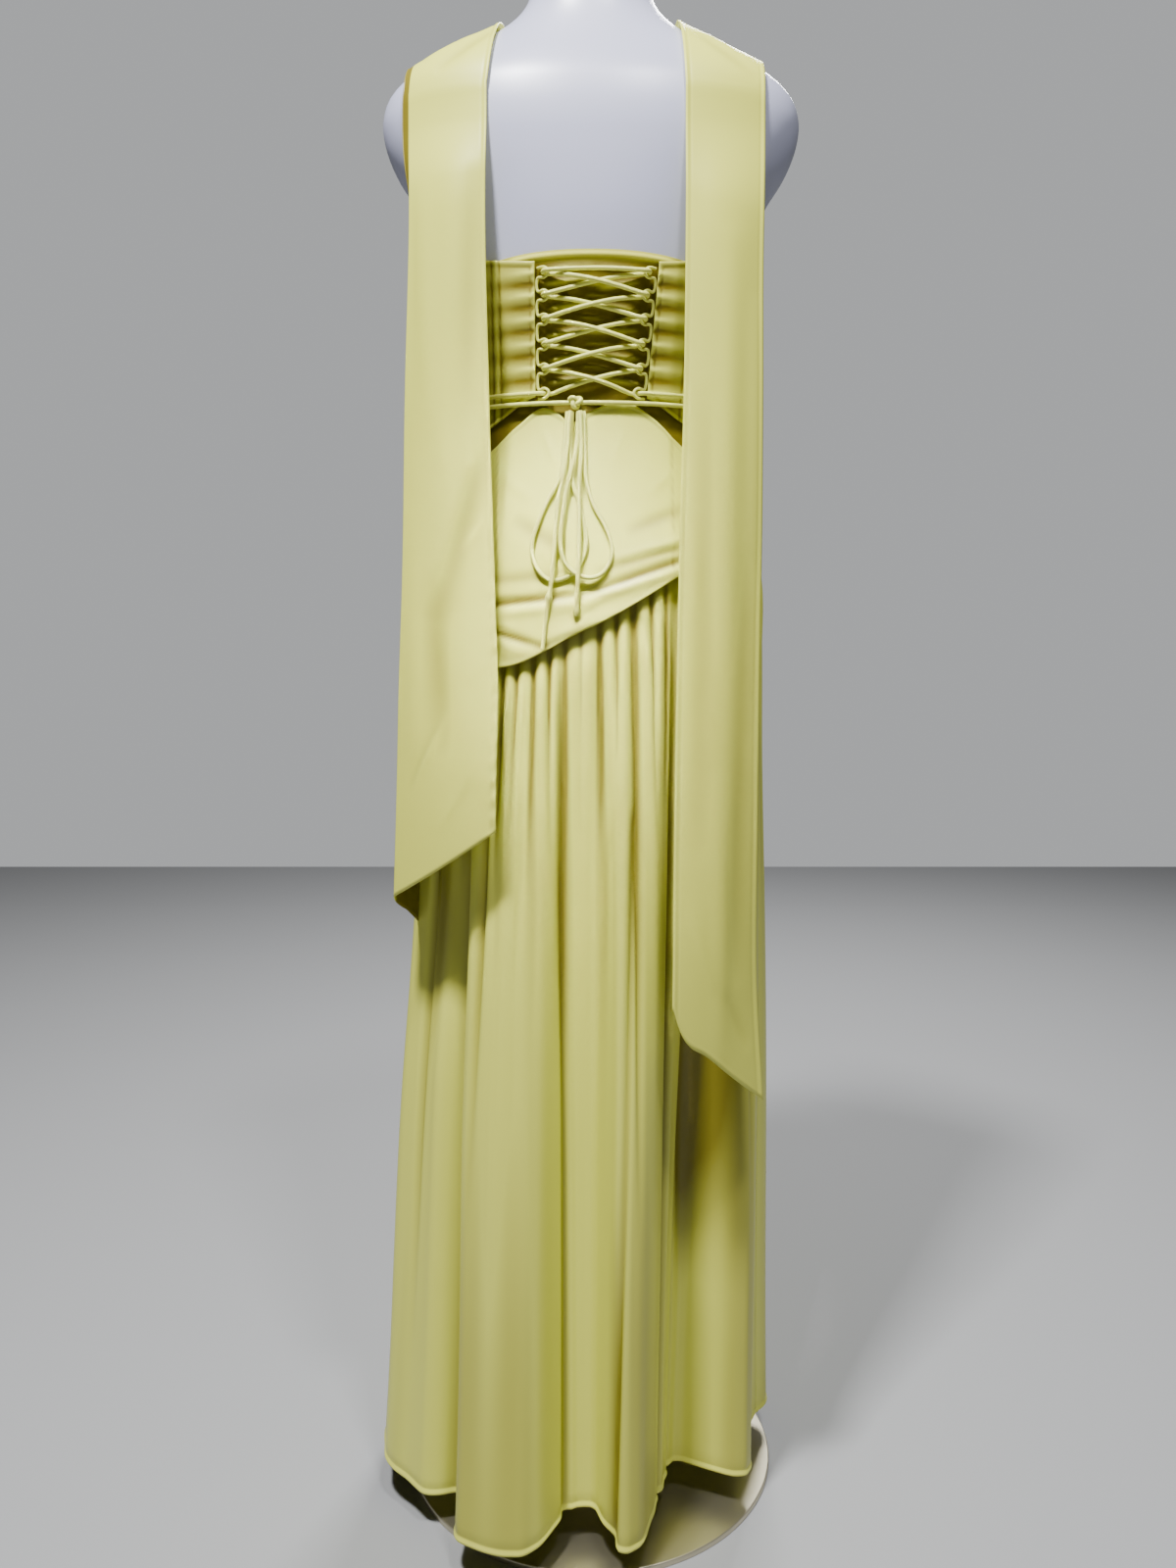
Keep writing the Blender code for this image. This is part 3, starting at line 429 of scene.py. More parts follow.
underlay_share = np.concatenate([np.linspace(0, 0.955, 112), np.linspace(0.958, 1, 12)])[:, None]
underlay_angle = np.linspace(-UNDERLAY_SIDE, UNDERLAY_SIDE, 191)[None, :]
underlay_top = np.maximum(UNDERLAY_TOP - 0.0100 * (np.abs(underlay_angle) / 40) ** 2, 1.200)
underlay_height = UNDERLAY_LOW + (underlay_top - UNDERLAY_LOW) * underlay_share
underlay = around(underlay_angle, underlay_height, UNDERLAY_OFFSET)
below_top = underlay_top - underlay_height
window = 1 - smooth_step(np.abs(underlay[..., 0]), 0.040, 0.050)
puffed = creased(underlay[..., 0], underlay_height, UNDERLAY_FOLDS) * window
rolled = 0.0020 * bell(below_top - 0.0042, 0.0030)
underlay = raised(underlay, puffed + rolled * (1 - smooth_step(np.abs(underlay_angle), 24, 30)))
# Painted shade: the strip darkens between the puffs, and is lighter on their tops, on the rolled
# edge and along the top band
underlay_shade = 1.22 - puffed / 0.0036 - rolled / 0.0020
underlay_shade = underlay_shade - 0.5 * smooth_step(underlay_height, 1.205, 1.212)
underlay_strip = cloth_shell("underlay_strip", underlay, SCRUNCHED_CREPE, underlay_shade)
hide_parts("modesty_panel")


# The bodice: two corset panels with boned seams beside the lacing and one moulded front. The
# panels' laced edges are turned in; the loops pull short creases into them.
def panel_edge(side, height):
    """The x of a laced edge: upright on the left, leaning in towards the waist on the right."""
    if side < 0:
        return -0.0496 + 0 * height
    return 0.0500 + 0.0095 * (height - 1.095) / 0.11


def angle_at(x, height, offset):
    """The angle at which the widened section passes a given x: the powered sine, undone."""
    share = np.clip(np.abs(x) / (curve_value(FORM, height, 1) + offset), 0, 1)
    return np.degrees(np.arcsin(share ** (SECTION_POWER / 2))) * np.sign(x)


BODICE_EDGES = np.array([
    # angle from centre back, top edge, bottom edge
    (0, 1.2085, 1.0990),
    (22, 1.2095, 1.0930),
    (40, 1.2140, 1.0740),
    (55, 1.2190, 1.0620),
    (70, 1.2240, 1.0560),
    (90, 1.2300, 1.0520),
    (120, 1.2500, 1.0480),
    (150, 1.2700, 1.0420),
    (166, 1.2680, 1.0390),
    (180, 1.2600, 1.0370),
])
BODICE_INSIDE, BODICE_OUTSIDE = 0.0036, 0.0054
SIDE_SEAM = 0.07


def turned_edges(across, up):
    """A turned edge: a low round ridge 2 mm in from the edge and a groove 5 mm in."""
    near = np.minimum(across, up)
    return 0.0005 * bell(near - 0.0018, 0.0014) - 0.0003 * bell(near - 0.0052, 0.0008)


def loop_pulls(height, inset):
    """Creases from each loop: a bell-shaped ridge level with it and a groove below, both wider
    and fainter away from the laced edge."""
    inwards = np.maximum(inset, 0)
    ridges = sum(bell(height - row, 0.0022 + 0.10 * inwards) for row in LACE_ROWS)
    grooves = sum(bell(height - row + 0.0095, 0.0024 + 0.06 * inwards) for row in LACE_ROWS)
    faded = np.exp(-inwards / 0.020) * smooth_step(inset, -0.001, 0.003)
    return (0.0015 * ridges - 0.0011 * grooves) * faded


def boned_seams(inset):
    """Narrow grooves at the seams, with the low round ridge of a bone between the first two."""
    seams = sum(bell(inset - seam, 0.0010) for seam in (0.033, 0.040, 0.072))
    return 0.0004 * bell(inset - 0.0365, 0.0024) - 0.0006 * seams


for side, word in ((-1, "left"), (1, "right")):
    share = np.linspace(0, 1, 91)[:, None]
    across = np.concatenate([np.linspace(0, 0.18, 30), np.linspace(0.19, 1, 70)])[None, :]
    middle = (LACE_ROWS[0] + LACE_ROWS[-1]) / 2
    start = np.abs(angle_at(panel_edge(side, middle), middle, BODICE_INSIDE))
    rough = start + (90 - SIDE_SEAM - start) * across
    low, high = curve_value(BODICE_EDGES, rough, 2), curve_value(BODICE_EDGES, rough, 1)
    height = low + (high - low) * share
    start = np.abs(angle_at(panel_edge(side, height[:, :1]), height[:, :1], BODICE_INSIDE))
    angle = (start + (90 - SIDE_SEAM - start) * across) * side
    panel = around(angle, height, BODICE_OUTSIDE)
    inset = np.abs(panel[..., 0]) - np.abs(panel_edge(side, height))
    detail = loop_pulls(height, inset) + boned_seams(inset)
    detail = detail + turned_edges(inset, np.minimum(high - height, height - low))
    if side < 0:
        panel, detail = panel[:, ::-1], detail[:, ::-1]
    # Painted shade: the panels are darkened all over, more in the troughs of creases and seams and
    # less on ridges
    corset_panel = cloth_shell(
        f"corset_panel_{word}", raised(panel, detail), SATIN_CREPE, 0.62 - detail / 0.0011
    )
    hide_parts(f"corset_back_{word}")

BODICE_DRAGS = np.array([
    # x, height, x, height, width, height of the fold
    (-0.140, 1.092, -0.020, 1.118, 0.0080, 0.0007),
    (0.142, 1.118, 0.020, 1.096, 0.0075, 0.0006),
    (-0.146, 1.125, -0.060, 1.185, 0.0100, -0.0005),
    (0.148, 1.120, 0.056, 1.190, 0.0100, -0.0006),
    (-0.130, 1.072, 0.030, 1.080, 0.0070, 0.0006),
    (0.134, 1.064, 0.020, 1.088, 0.0070, -0.0005),
])
front_angle = np.linspace(90 + SIDE_SEAM, 270 - SIDE_SEAM, 151)[None, :]
folded_back = np.where(front_angle > 180, 360 - front_angle, front_angle)
front_low = curve_value(BODICE_EDGES, folded_back, 2)
front_high = curve_value(BODICE_EDGES, folded_back, 1)
front_height = front_low + (front_high - front_low) * np.linspace(0, 1, 81)[:, None]
front = around(front_angle, front_height, BODICE_OUTSIDE)
front_detail = creased(front[..., 0], front_height, BODICE_DRAGS)
front_detail = front_detail + turned_edges(0.1, front_high - front_height)
# Painted shade in the troughs of the drag folds and the turned edge's groove
moulded_front = cloth_shell(
    "moulded_front", raised(front, front_detail), SATIN_CREPE, -front_detail / 0.0016
)
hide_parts("bodice_front")


# The basque: a fitted band from the waist to the slanting dropped seam, its lower edge free and
# a little proud of the skirt. The back's top edge has two lobes with a notch under the knot.
BASQUE_TOP = np.array([
    # angle, height
    (-90, 1.0517),
    (-75, 1.0480),
    (-62, 1.0380),
    (-48, 1.0414),
    (-30, 1.0700),
    (-18, 1.0844),
    (-12, 1.0790),
    (-7, 1.0705),
    (-2, 1.0780),
    (3, 1.0850),
    (13, 1.0890),
    (25, 1.0760),
    (42, 1.0460),
    (60, 1.0400),
    (75, 1.0480),
    (90, 1.0517),
])
BASQUE_FLARE = 0.0050
SEAM_MIDDLE, SEAM_RISE, SEAM_LOW, SEAM_BEND = 0.887, 0.103, 0.849, 0.006
BASQUE_BACK_FOLDS = np.array([
    # x, height, x, height, width, height of the fold
    (-0.120, 0.904, -0.004, 0.917, 0.0042, -0.0022),
    (-0.010, 0.914, 0.110, 0.957, 0.0044, -0.0020),
    (-0.110, 0.897, 0.010, 0.908, 0.0050, 0.0018),
    (-0.020, 0.905, 0.120, 0.951, 0.0050, 0.0018),
    (-0.110, 0.889, -0.036, 0.868, 0.0038, -0.0020),
    (-0.052, 0.868, 0.020, 0.889, 0.0036, -0.0014),
    (-0.112, 0.880, -0.050, 0.861, 0.0044, 0.0014),
    (-0.040, 0.878, 0.060, 0.911, 0.0060, 0.0016),
    (0.000, 0.936, 0.110, 0.966, 0.0040, -0.0013),
    (0.006, 0.943, 0.110, 0.974, 0.0045, 0.0012),
    (-0.110, 0.928, -0.020, 0.934, 0.0055, -0.0010),
    (-0.086, 1.026, -0.050, 1.000, 0.0050, 0.0009),
    (0.078, 1.030, 0.048, 1.004, 0.0050, 0.0009),
    (-0.072, 0.985, -0.020, 0.955, 0.0070, -0.0010),
    (0.090, 0.996, 0.030, 0.972, 0.0060, -0.0010),
    (-0.044, 1.064, -0.030, 1.030, 0.0035, 0.0008),
    (0.030, 1.066, 0.020, 1.036, 0.0035, 0.0007),
])
BASQUE_FRONT_FOLDS = np.array([
    # x, height, x, height, width, height of the fold
    (-0.160, 0.876, 0.010, 0.910, 0.0080, 0.0012),
    (-0.150, 0.892, 0.030, 0.932, 0.0075, -0.0008),
    (-0.040, 0.914, 0.150, 0.996, 0.0085, 0.0011),
    (-0.140, 0.920, 0.010, 0.956, 0.0110, 0.0007),
    (-0.010, 0.950, 0.140, 1.012, 0.0100, -0.0007),
    (-0.120, 1.020, -0.010, 0.986, 0.0110, -0.0006),
])


def seam_height(angle):
    """The dropped seam: a sine lifts its right side, and it runs out level on the left."""
    slant = SEAM_MIDDLE + SEAM_RISE * np.sin(np.radians(angle))
    return SEAM_LOW + SEAM_BEND * np.logaddexp(0, (slant - SEAM_LOW) / SEAM_BEND)


back_angle = np.linspace(-90 + SIDE_SEAM, 90 - SIDE_SEAM, 191)[None, :]
for word, angle, top, folds, flat, area in (
    ("back", back_angle, curve_value(BASQUE_TOP, back_angle), BASQUE_BACK_FOLDS,
     (0.390, 0.250), 0.0700),
    ("front", front_angle, front_low - 0.0003, BASQUE_FRONT_FOLDS, (0.370, 0.212), 0.0620),
):
    share = np.concatenate([
        np.linspace(0, 0.09, 14), np.linspace(0.1, 0.93, 76), np.linspace(0.94, 1, 9)
    ])[:, None]
    low = seam_height(angle)
    height = low + (top - low) * share
    flare = BASQUE_FLARE * (1 - smooth_step((height - low) / 0.085, 0.0, 1.0))
    band = around(angle, height, BODICE_OUTSIDE + flare)
    detail = creased(band[..., 0], height, folds)
    detail = detail + 0.3 * turned_edges(0.1, height - low)
    if word == "back":
        detail = detail + turned_edges(0.1, top - height)
        for seam_x in (-0.0865, 0.0745):
            detail = detail - 0.0006 * bell(band[..., 0] - seam_x, 0.0010)
    # Painted shade in the troughs of its folds, seams and edge grooves
    basque_band = cloth_shell(
        f"basque_band_{word}", raised(band, detail), SATIN_CREPE, -detail / 0.0020, 0.0013
    )
    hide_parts(f"basque_{word}")


# The skirt: two wide widths of crepe, gathered into the slanting seam and falling in folds that
# merge and widen down to a narrow rolled hem. Gathers have round ridges and narrow valleys.
HEM = np.array([
    # angle, distance of the hem from the axis at each ridge and valley
    (-90, 0.213),
    (-78, 0.221),
    (-67, 0.222),
    (-58, 0.212),
    (-52, 0.206),
    (-46, 0.184),
    (-40, 0.198),
    (-34, 0.229),
    (-22, 0.228),
    (-16, 0.222),
    (-12.4, 0.196),
    (-9.3, 0.160),
    (-6.5, 0.152),
    (-2.5, 0.150),
    (1.5, 0.152),
    (3.6, 0.163),
    (5.2, 0.205),
    (8, 0.217),
    (13, 0.210),
    (18, 0.180),
    (25, 0.155),
    (34, 0.133),
    (40, 0.120),
    (46, 0.117),
    (50, 0.128),
    (52.5, 0.168),
    (56, 0.187),
    (61, 0.186),
    (68, 0.167),
    (78, 0.160),
    (88, 0.176),
    (96, 0.195),
    (103, 0.196),
    (111, 0.174),
    (123, 0.200),
    (134, 0.204),
    (145, 0.166),
    (157, 0.198),
    (168, 0.202),
    (179, 0.168),
    (190, 0.198),
    (201, 0.203),
    (212, 0.166),
    (223, 0.196),
    (234, 0.206),
    (245, 0.176),
    (256, 0.204),
    (270, 0.213),
])
SKIRT_RINGS = np.array([
    # share of the height, of the hem's width, of its folds, offset, gathers, double gathers
    (0.000, 0.00, 0.00, 0.0036, 0.0010, 0.0000),
    (0.020, 0.00, 0.01, 0.0046, 0.0018, 0.0004),
    (0.050, 0.00, 0.04, 0.0066, 0.0026, 0.0010),
    (0.100, 0.02, 0.12, 0.0080, 0.0019, 0.0014),
    (0.260, 0.13, 0.38, 0.0090, 0.0001, 0.0010),
    (0.560, 0.52, 0.74, 0.0100, 0.0000, 0.0003),
    (1.000, 1.00, 1.00, 0.0000, 0.0000, 0.0000),
])
SKIRT_CREASES = np.array([
    # angle, share, angle, share, width in degrees, height of the fold
    (-7.6, 0.02, -9.4, 1.90, 0.9, -0.0056),
    (10.8, 0.20, -1.0, 1.90, 1.0, -0.0058),
    (11.4, 0.00, 12.0, 0.70, 0.8, -0.0056),
    (25.6, 0.02, 27.0, 1.60, 1.4, -0.0066),
    (-2.2, 0.02, -2.0, 0.60, 2.6, 0.0024),
    (-7.8, 0.00, -9.0, 0.55, 1.8, -0.0038),
    (11.5, 0.00, 12.4, 0.50, 1.6, -0.0020),
    (25.8, 0.00, 26.0, 0.80, 2.2, -0.0036),
    (46.0, 0.30, 47.5, 0.84, 6.4, -0.0165),
    (-52.0, 0.10, -53.0, 0.50, 4.6, -0.0080),
    (-31.0, 0.00, -34.0, 0.55, 2.0, -0.0030),
    (7.6, 0.02, 7.8, 1.30, 2.2, 0.0028),
    (17.0, 0.03, 18.0, 1.20, 3.0, 0.0030),
    (-13.0, 0.03, -14.5, 1.40, 3.2, 0.0022),
    (-18.6, 0.02, -20.0, 0.40, 1.1, -0.0026),
    (-24.0, 0.03, -26.0, 1.20, 3.2, 0.0034),
    (-30.6, 0.02, -33.0, 0.70, 1.3, -0.0042),
    (-36.0, 0.05, -39.0, 1.00, 2.6, 0.0036),
    (-42.0, 0.04, -48.0, 1.80, 2.3, -0.0070),
    (-51.0, 0.05, -54.0, 1.50, 3.0, 0.0040),
    (-59.0, 0.04, -61.0, 0.90, 1.4, -0.0046),
    (-68.0, 0.06, -71.0, 1.40, 3.4, 0.0040),
    (-78.0, 0.05, -80.0, 0.70, 1.6, -0.0044),
    (30.0, 0.04, 33.0, 0.70, 2.4, 0.0034),
    (36.0, 0.04, 40.0, 1.50, 1.5, -0.0056),
    (46.0, 0.06, 50.0, 1.00, 2.8, 0.0036),
    (55.0, 0.04, 59.0, 0.80, 1.4, -0.0044),
    (66.0, 0.05, 64.0, 1.40, 3.2, 0.0040),
    (75.0, 0.05, 72.0, 0.90, 1.5, -0.0046),
    (100.0, 0.06, 100.0, 1.30, 3.4, 0.0040),
    (106.0, 0.04, 110.0, 1.40, 1.6, -0.0056),
    (118.0, 0.05, 121.0, 0.80, 2.8, 0.0036),
    (127.0, 0.04, 124.0, 0.60, 1.4, -0.0044),
    (134.0, 0.06, 134.0, 1.20, 3.0, 0.0040),
    (142.0, 0.04, 145.0, 1.60, 1.6, -0.0060),
    (155.0, 0.05, 157.0, 1.00, 3.2, 0.0042),
    (163.0, 0.04, 161.0, 0.55, 1.4, -0.0044),
    (171.0, 0.05, 169.0, 1.10, 2.8, 0.0038),
    (181.0, 0.04, 179.0, 1.70, 1.6, -0.0060),
    (192.0, 0.06, 191.0, 1.10, 3.0, 0.0042),
    (198.0, 0.04, 197.0, 0.50, 1.3, -0.0042),
    (205.0, 0.05, 203.0, 1.20, 2.8, 0.0040),
    (214.0, 0.04, 212.0, 1.60, 1.6, -0.0058),
    (226.0, 0.06, 225.0, 0.90, 3.2, 0.0042),
    (236.0, 0.05, 235.0, 0.70, 1.4, -0.0044),
    (247.0, 0.04, 245.0, 1.50, 1.7, -0.0056),
    (257.0, 0.05, 258.0, 1.20, 3.2, 0.0040),
])
HIP_HEIGHT, HEM_HEIGHT, GATHERS, SKIRT_TUCK = 0.900, 0.040, 72, 0.010
CREASE_LIMIT, LIMIT_BEND, FORM_GAP = 0.020, 0.0012, 0.0020


def hem_radius(angle):
    """Between rows the curve eases out of one ridge or valley and into the next by a cosine."""
    xs, ys = HEM[:, 0], HEM[:, 1]
    at = (angle + 90) % 360 - 90
    i = np.clip(np.searchsorted(xs, at, side="right") - 1, 0, len(xs) - 2)
    t = (at - xs[i]) / (xs[i + 1] - xs[i])
    return ys[i] + (ys[i + 1] - ys[i]) * (1 - np.cos(math.pi * t)) / 2


def soft_hem(angle):
    """The hem's distance with its turns rounded: the mean over 4 degrees."""
    return np.mean([hem_radius(angle + near) for near in (-2, -1.2, -0.4, 0.4, 1.2, 2)], axis=0)


def section_sum(x, y, height, offset):
    """The widened section's equation: x over its half width and y over its depth, each raised to
    the section's power and added. The sum is 1 on the section and less inside."""
    wide = curve_value(FORM, height, 1) + offset
    deep = np.where(y < 0, curve_value(FORM, height, 2), curve_value(FORM, height, 3)) + offset
    return (np.abs(x) / wide) ** SECTION_POWER + (np.abs(y) / deep) ** SECTION_POWER


def off_form(points):
    """How far points lie outside the form, measured towards the axis: the section's power is
    undone, which gives how many times as far out as the section each point lies."""
    x, y, height = np.moveaxis(points, -1, 0)
    times = section_sum(x, y, height, 0) ** (1 / SECTION_POWER)
    return np.hypot(x, y) * (1 - 1 / times)


def hem_width(angle):
    """The hem's distance without its folds: the mean over 60 degrees."""
    return np.mean([hem_radius(angle + near) for near in range(-30, 31, 5)], axis=0)


def skirt_outline(angle, height, share):
    """The hip's section gives way down the skirt to the hem's width, and the hem's ridges and
    valleys grow on it. Also returns how far a point stands out by them."""
    of_width, of_folds, offset = (curve_value(SKIRT_RINGS, share, column) for column in (1, 2, 3))
    turn = np.radians(angle)
    spoke = np.stack([np.sin(turn), -np.cos(turn)], axis=-1)
    width = hem_width(angle)
    fold = (soft_hem(angle) - width) * of_folds
    hung = around(angle, np.maximum(height, HIP_HEIGHT), offset)[..., :2]
    outline = hung * (1 - of_width)[..., None] + spoke * (width * of_width + fold)[..., None]
    return np.concatenate([outline, height[..., None]], axis=-1), fold


def gather_ripple(angle, share):
    """Gathers near the seam: the size of a cosine for round ridges and narrow valleys. Below,
    they merge in pairs along a plain cosine, and all are uneven round the skirt."""
    turn = np.radians(angle)
    gather, double = (curve_value(SKIRT_RINGS, share, column) for column in (4, 5))
    phase = GATHERS * turn + 0.7 * np.sin(4 * turn) + 0.8 * np.sin(11 * turn + 0.5)
    single = gather * (3.0 * np.abs(np.cos(phase / 2)) - 1.9) * (1 - smooth_step(share, 0.12, 0.40))
    merged = double * np.cos(GATHERS / 2 * turn + 1.3 + 1.1 * np.sin(3 * turn))
    uneven = 0.85 + 0.4 * np.sin(7 * turn + 1.0) * np.sin(3 * turn) + 0.35 * np.sin(23 * turn)
    return (single + merged * (1 - smooth_step(share, 0.30, 0.75))) * uneven


def long_creases(angle, share):
    """A bell curve across each crease, which comes in at its top and fades over its lower half."""
    total = 0.0
    for start, rise, end, fall, spread, size in SKIRT_CREASES:
        along = np.clip((share - rise) / (fall - rise), 0, 1)
        middle = start + (end - start) * along
        aside = (angle - middle + 180) % 360 - 180
        fade = smooth_step(share, rise, rise + 0.03) * (1 - smooth_step(along, 0.45, 1.0))
        total = total + size * fade * bell(aside, spread)
    return total


def skirt_surface(angle, share):
    """The outline moved out by gathers and creases, by a soft maximum never through the form,
    with a rolled hem. Also returns each point's painted shade."""
    top = seam_height(angle) + SKIRT_TUCK * (1 - smooth_step(share, 0, 0.05))
    hem = HEM_HEIGHT + 0.003 * np.sin(3 * np.radians(angle) + 0.6)
    height = top + (hem - top) * share
    outline, fold = skirt_outline(angle, height, share)
    ripple = gather_ripple(angle, share)
    moved = ripple + long_creases(angle, share)
    below_form = smooth_step(share, 0.22, 0.36)
    room = curve_value(SKIRT_RINGS, share, 3) - 0.0016
    lowest = -room * (1 - below_form) - CREASE_LIMIT * below_form
    lowest = np.maximum(lowest, FORM_GAP - off_form(outline))
    moved = lowest + np.logaddexp(0, (moved - lowest) / LIMIT_BEND) * LIMIT_BEND
    from_hem = height - hem
    rolled = 0.0011 * bell(from_hem - 0.0018, 0.0017) - 0.0007 * bell(from_hem - 0.0058, 0.0011)
    # Painted shade: a painted shadow band under the seam, the hollows of creases and gathers, and
    # the hem ridges' lower parts; less on the rolled hem
    painted_shade = 1.1 * bell(share, 0.018) - moved / 0.0085
    painted_shade = painted_shade - 1.4 * np.minimum(ripple, 0) / 0.0060
    painted_shade = painted_shade + 0.42 * smooth_step(fold, 0.0, 0.022) * smooth_step(share, 0.40, 0.85)
    painted_shade = np.clip(painted_shade, 0, 0.9) * (1 - 0.8 * smooth_step(share, 0.990, 0.997))
    return raised(outline, moved + rolled), painted_shade


skirt_share = np.concatenate([
    np.linspace(1, 0.993, 9), np.linspace(0.991, 0.30, 62), np.linspace(0.29, 0, 42)
])[:, None]
for word, first in (("back", -90), ("front", 90)):
    skirt_angle = first + np.linspace(SIDE_SEAM, 180 - SIDE_SEAM, 385)[None, :]
    angle, share = np.broadcast_arrays(skirt_angle, skirt_share)
    surface, painted_shade = skirt_surface(angle, share)
    skirt_width = cloth_shell(f"skirt_{word}_width", surface, SATIN_CREPE, painted_shade, 0.0010)
    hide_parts(f"skirt_{word}")


# The scarf: one long strip of the gown's crepe with narrow turned hems, laid across the front
# of the shoulders, its two ends over them and down the back. The left end is folded forward
# round its outer edge, the right end hangs flat, and both are cut aslant at the bottom.
TAIL_LEFT = np.array([
    # height, inner edge x, outer edge x, inner y, outer y
    (1.330, -0.0920, -0.1635, -0.0985, -0.0700),
    (1.260, -0.0930, -0.1632, -0.1040, -0.0790),
    (1.100, -0.0905, -0.1684, -0.1130, -0.0900),
    (0.920, -0.0857, -0.1736, -0.1300, -0.0980),
    (0.835, -0.0830, -0.1773, -0.1430, -0.1030),
    (0.745, -0.0845, -0.1802, -0.1580, -0.1080),
    (0.600, -0.0859, -0.1860, -0.1700, -0.1150),
])
TAIL_RIGHT = np.array([
    # height, inner edge x, outer edge x, inner y, outer y
    (1.330, 0.0830, 0.1565, -0.0985, -0.0740),
    (1.222, 0.0830, 0.1548, -0.1060, -0.0830),
    (1.094, 0.0820, 0.1551, -0.1130, -0.0920),
    (0.965, 0.0785, 0.1556, -0.1270, -0.0980),
    (0.835, 0.0760, 0.1550, -0.1430, -0.1060),
    (0.700, 0.0737, 0.1547, -0.1630, -0.1140),
    (0.560, 0.0721, 0.1551, -0.1850, -0.1230),
    (0.440, 0.0701, 0.1622, -0.1930, -0.1330),
])
TAIL_OUTSIDE, TAIL_LIFT = 0.0039, 0.0018
SHOULDER_HEIGHT, SHOULDER_TOP, SWEEP_FROM, SWEEP_TO = 1.358, 0.030, -20, 86
TAIL_BULGE, TURN_WIDTH, TURN_DROP = 0.0090, 0.048, 0.037
TURN_AT_SHOULDER, TURN_LEAN, TURN_ROUND = 0.007, 0.019, 0.003
SCARF_EDGES, SCARF_WIDTH = (0.078, 0.158), 0.085
ROWS_OVER, ROWS_DOWN = 30, 170


def top_height(x, y, offset):
    """Where the raised shoulder passes a point seen from above, by halving the gap 40 times."""
    low, high = np.full(np.shape(x), SHOULDER_HEIGHT), np.full(np.shape(x), FORM[-1, 0])
    for _ in range(40):
        middle = (low + high) / 2
        inside = section_sum(x, y, middle, offset) < 1
        low, high = np.where(inside, middle, low), np.where(inside, high, middle)
    return low + offset


def shoulder_row(table, flat, past, share):
    """A row over the raised shoulder: its depth follows the sine of a swept angle, and its
    height is that of the shoulder under it."""
    inner, outer = (
        edge + (abs(top) - edge) * share for edge, top in zip(SCARF_EDGES, table[0, 1:3])
    )
    x = inner + (outer - inner) * flat + TURN_AT_SHOULDER * past
    wide, deep = (curve_value(FORM, SHOULDER_HEIGHT, column) + TAIL_OUTSIDE for column in (1, 2))
    deepest = deep * (1 - (x / wide) ** SECTION_POWER) ** (1 / SECTION_POWER)
    sweep = np.radians(SWEEP_FROM + (SWEEP_TO - SWEEP_FROM) * share)
    before = SHOULDER_TOP * np.sin(sweep) / math.sin(math.radians(SWEEP_FROM))
    y = np.where(sweep < 0, before, -deepest * np.sin(sweep))
    return np.stack([np.sign(table[0, 1]) * x, y, top_height(x, y, TAIL_OUTSIDE)], axis=-1)


def hanging_row(table, flat, past, top, end, share):
    """A row between the shoulder and the bottom: the table's edges at its heights, arched out
    between them by a sine. What lies past the outer edge turns forward and leans in."""
    height = top[:, 2] + (end - top[:, 2]) * share
    hung = np.minimum(height, table[0, 0])
    x_in, x_out, y_in, y_out = (curve_value(table[::-1], hung, column) for column in range(1, 5))
    settled, opened = smooth_step(share, 0, 0.16), smooth_step(share, 0.05, 0.35)
    aside = past * (TURN_AT_SHOULDER * (1 - settled) - TURN_LEAN * opened + TAIL_LIFT)
    aside += TURN_ROUND * opened * np.sin(math.pi * np.minimum(2 * past, 1))
    forward = past * (TURN_AT_SHOULDER + TURN_WIDTH * smooth_step(share, 0.15, 0.6))
    arch = TAIL_BULGE * settled * np.sin(math.pi * flat)
    x = x_in + (x_out - x_in) * flat + np.sign(table[0, 1]) * aside
    y = y_in + (y_out - y_in) * flat - arch - TAIL_LIFT + forward
    row = np.stack([x, y, height], axis=-1)
    row[:, :2] = top[:, :2] + (row[:, :2] - top[:, :2]) * smooth_step(share, -0.02, 0.12)
    return row


def tail_surface(table, across, end):
    """One end, over the shoulder and then down to the heights of its bottom edge. Across runs
    from the inner edge at 0 to the outer edge at 1, and past 1 round that edge."""
    flat, past = np.minimum(across, 1), np.maximum(across - 1, 0) * 2
    rows = [shoulder_row(table, flat, past, share) for share in np.linspace(0, 1, ROWS_OVER)]
    top = rows[-1]
    for share in np.linspace(0, 1, ROWS_DOWN + 1)[1:]:
        rows.append(hanging_row(table, flat, past, top, end, share))
    return np.array(rows)


TAIL_LEFT_FOLDS = np.array([
    # x, height, x, height, width, height of the fold
    (-0.084, 1.436, -0.152, 1.398, 0.0050, 0.0020),
    (-0.082, 1.424, -0.140, 1.380, 0.0050, -0.0016),
    (-0.092, 1.050, -0.140, 0.890, 0.0120, -0.0024),
    (-0.100, 1.060, -0.150, 0.900, 0.0090, 0.0020),
    (-0.142, 0.930, -0.134, 0.770, 0.0120, -0.0024),
    (-0.118, 0.900, -0.110, 0.740, 0.0120, 0.0020),
    (-0.150, 1.280, -0.146, 1.040, 0.0100, 0.0016),
    (-0.104, 1.290, -0.112, 1.060, 0.0100, -0.0014),
    (-0.128, 0.812, -0.160, 0.744, 0.0040, 0.0011),
    (-0.138, 0.800, -0.168, 0.738, 0.0036, -0.0010),
    (-0.100, 0.770, -0.140, 0.702, 0.0050, 0.0010),
    (-0.088, 0.985, -0.118, 0.955, 0.0036, 0.0009),
    (-0.088, 0.860, -0.112, 0.838, 0.0032, 0.0008),
    (-0.160, 0.980, -0.166, 0.760, 0.0080, 0.0016),
])
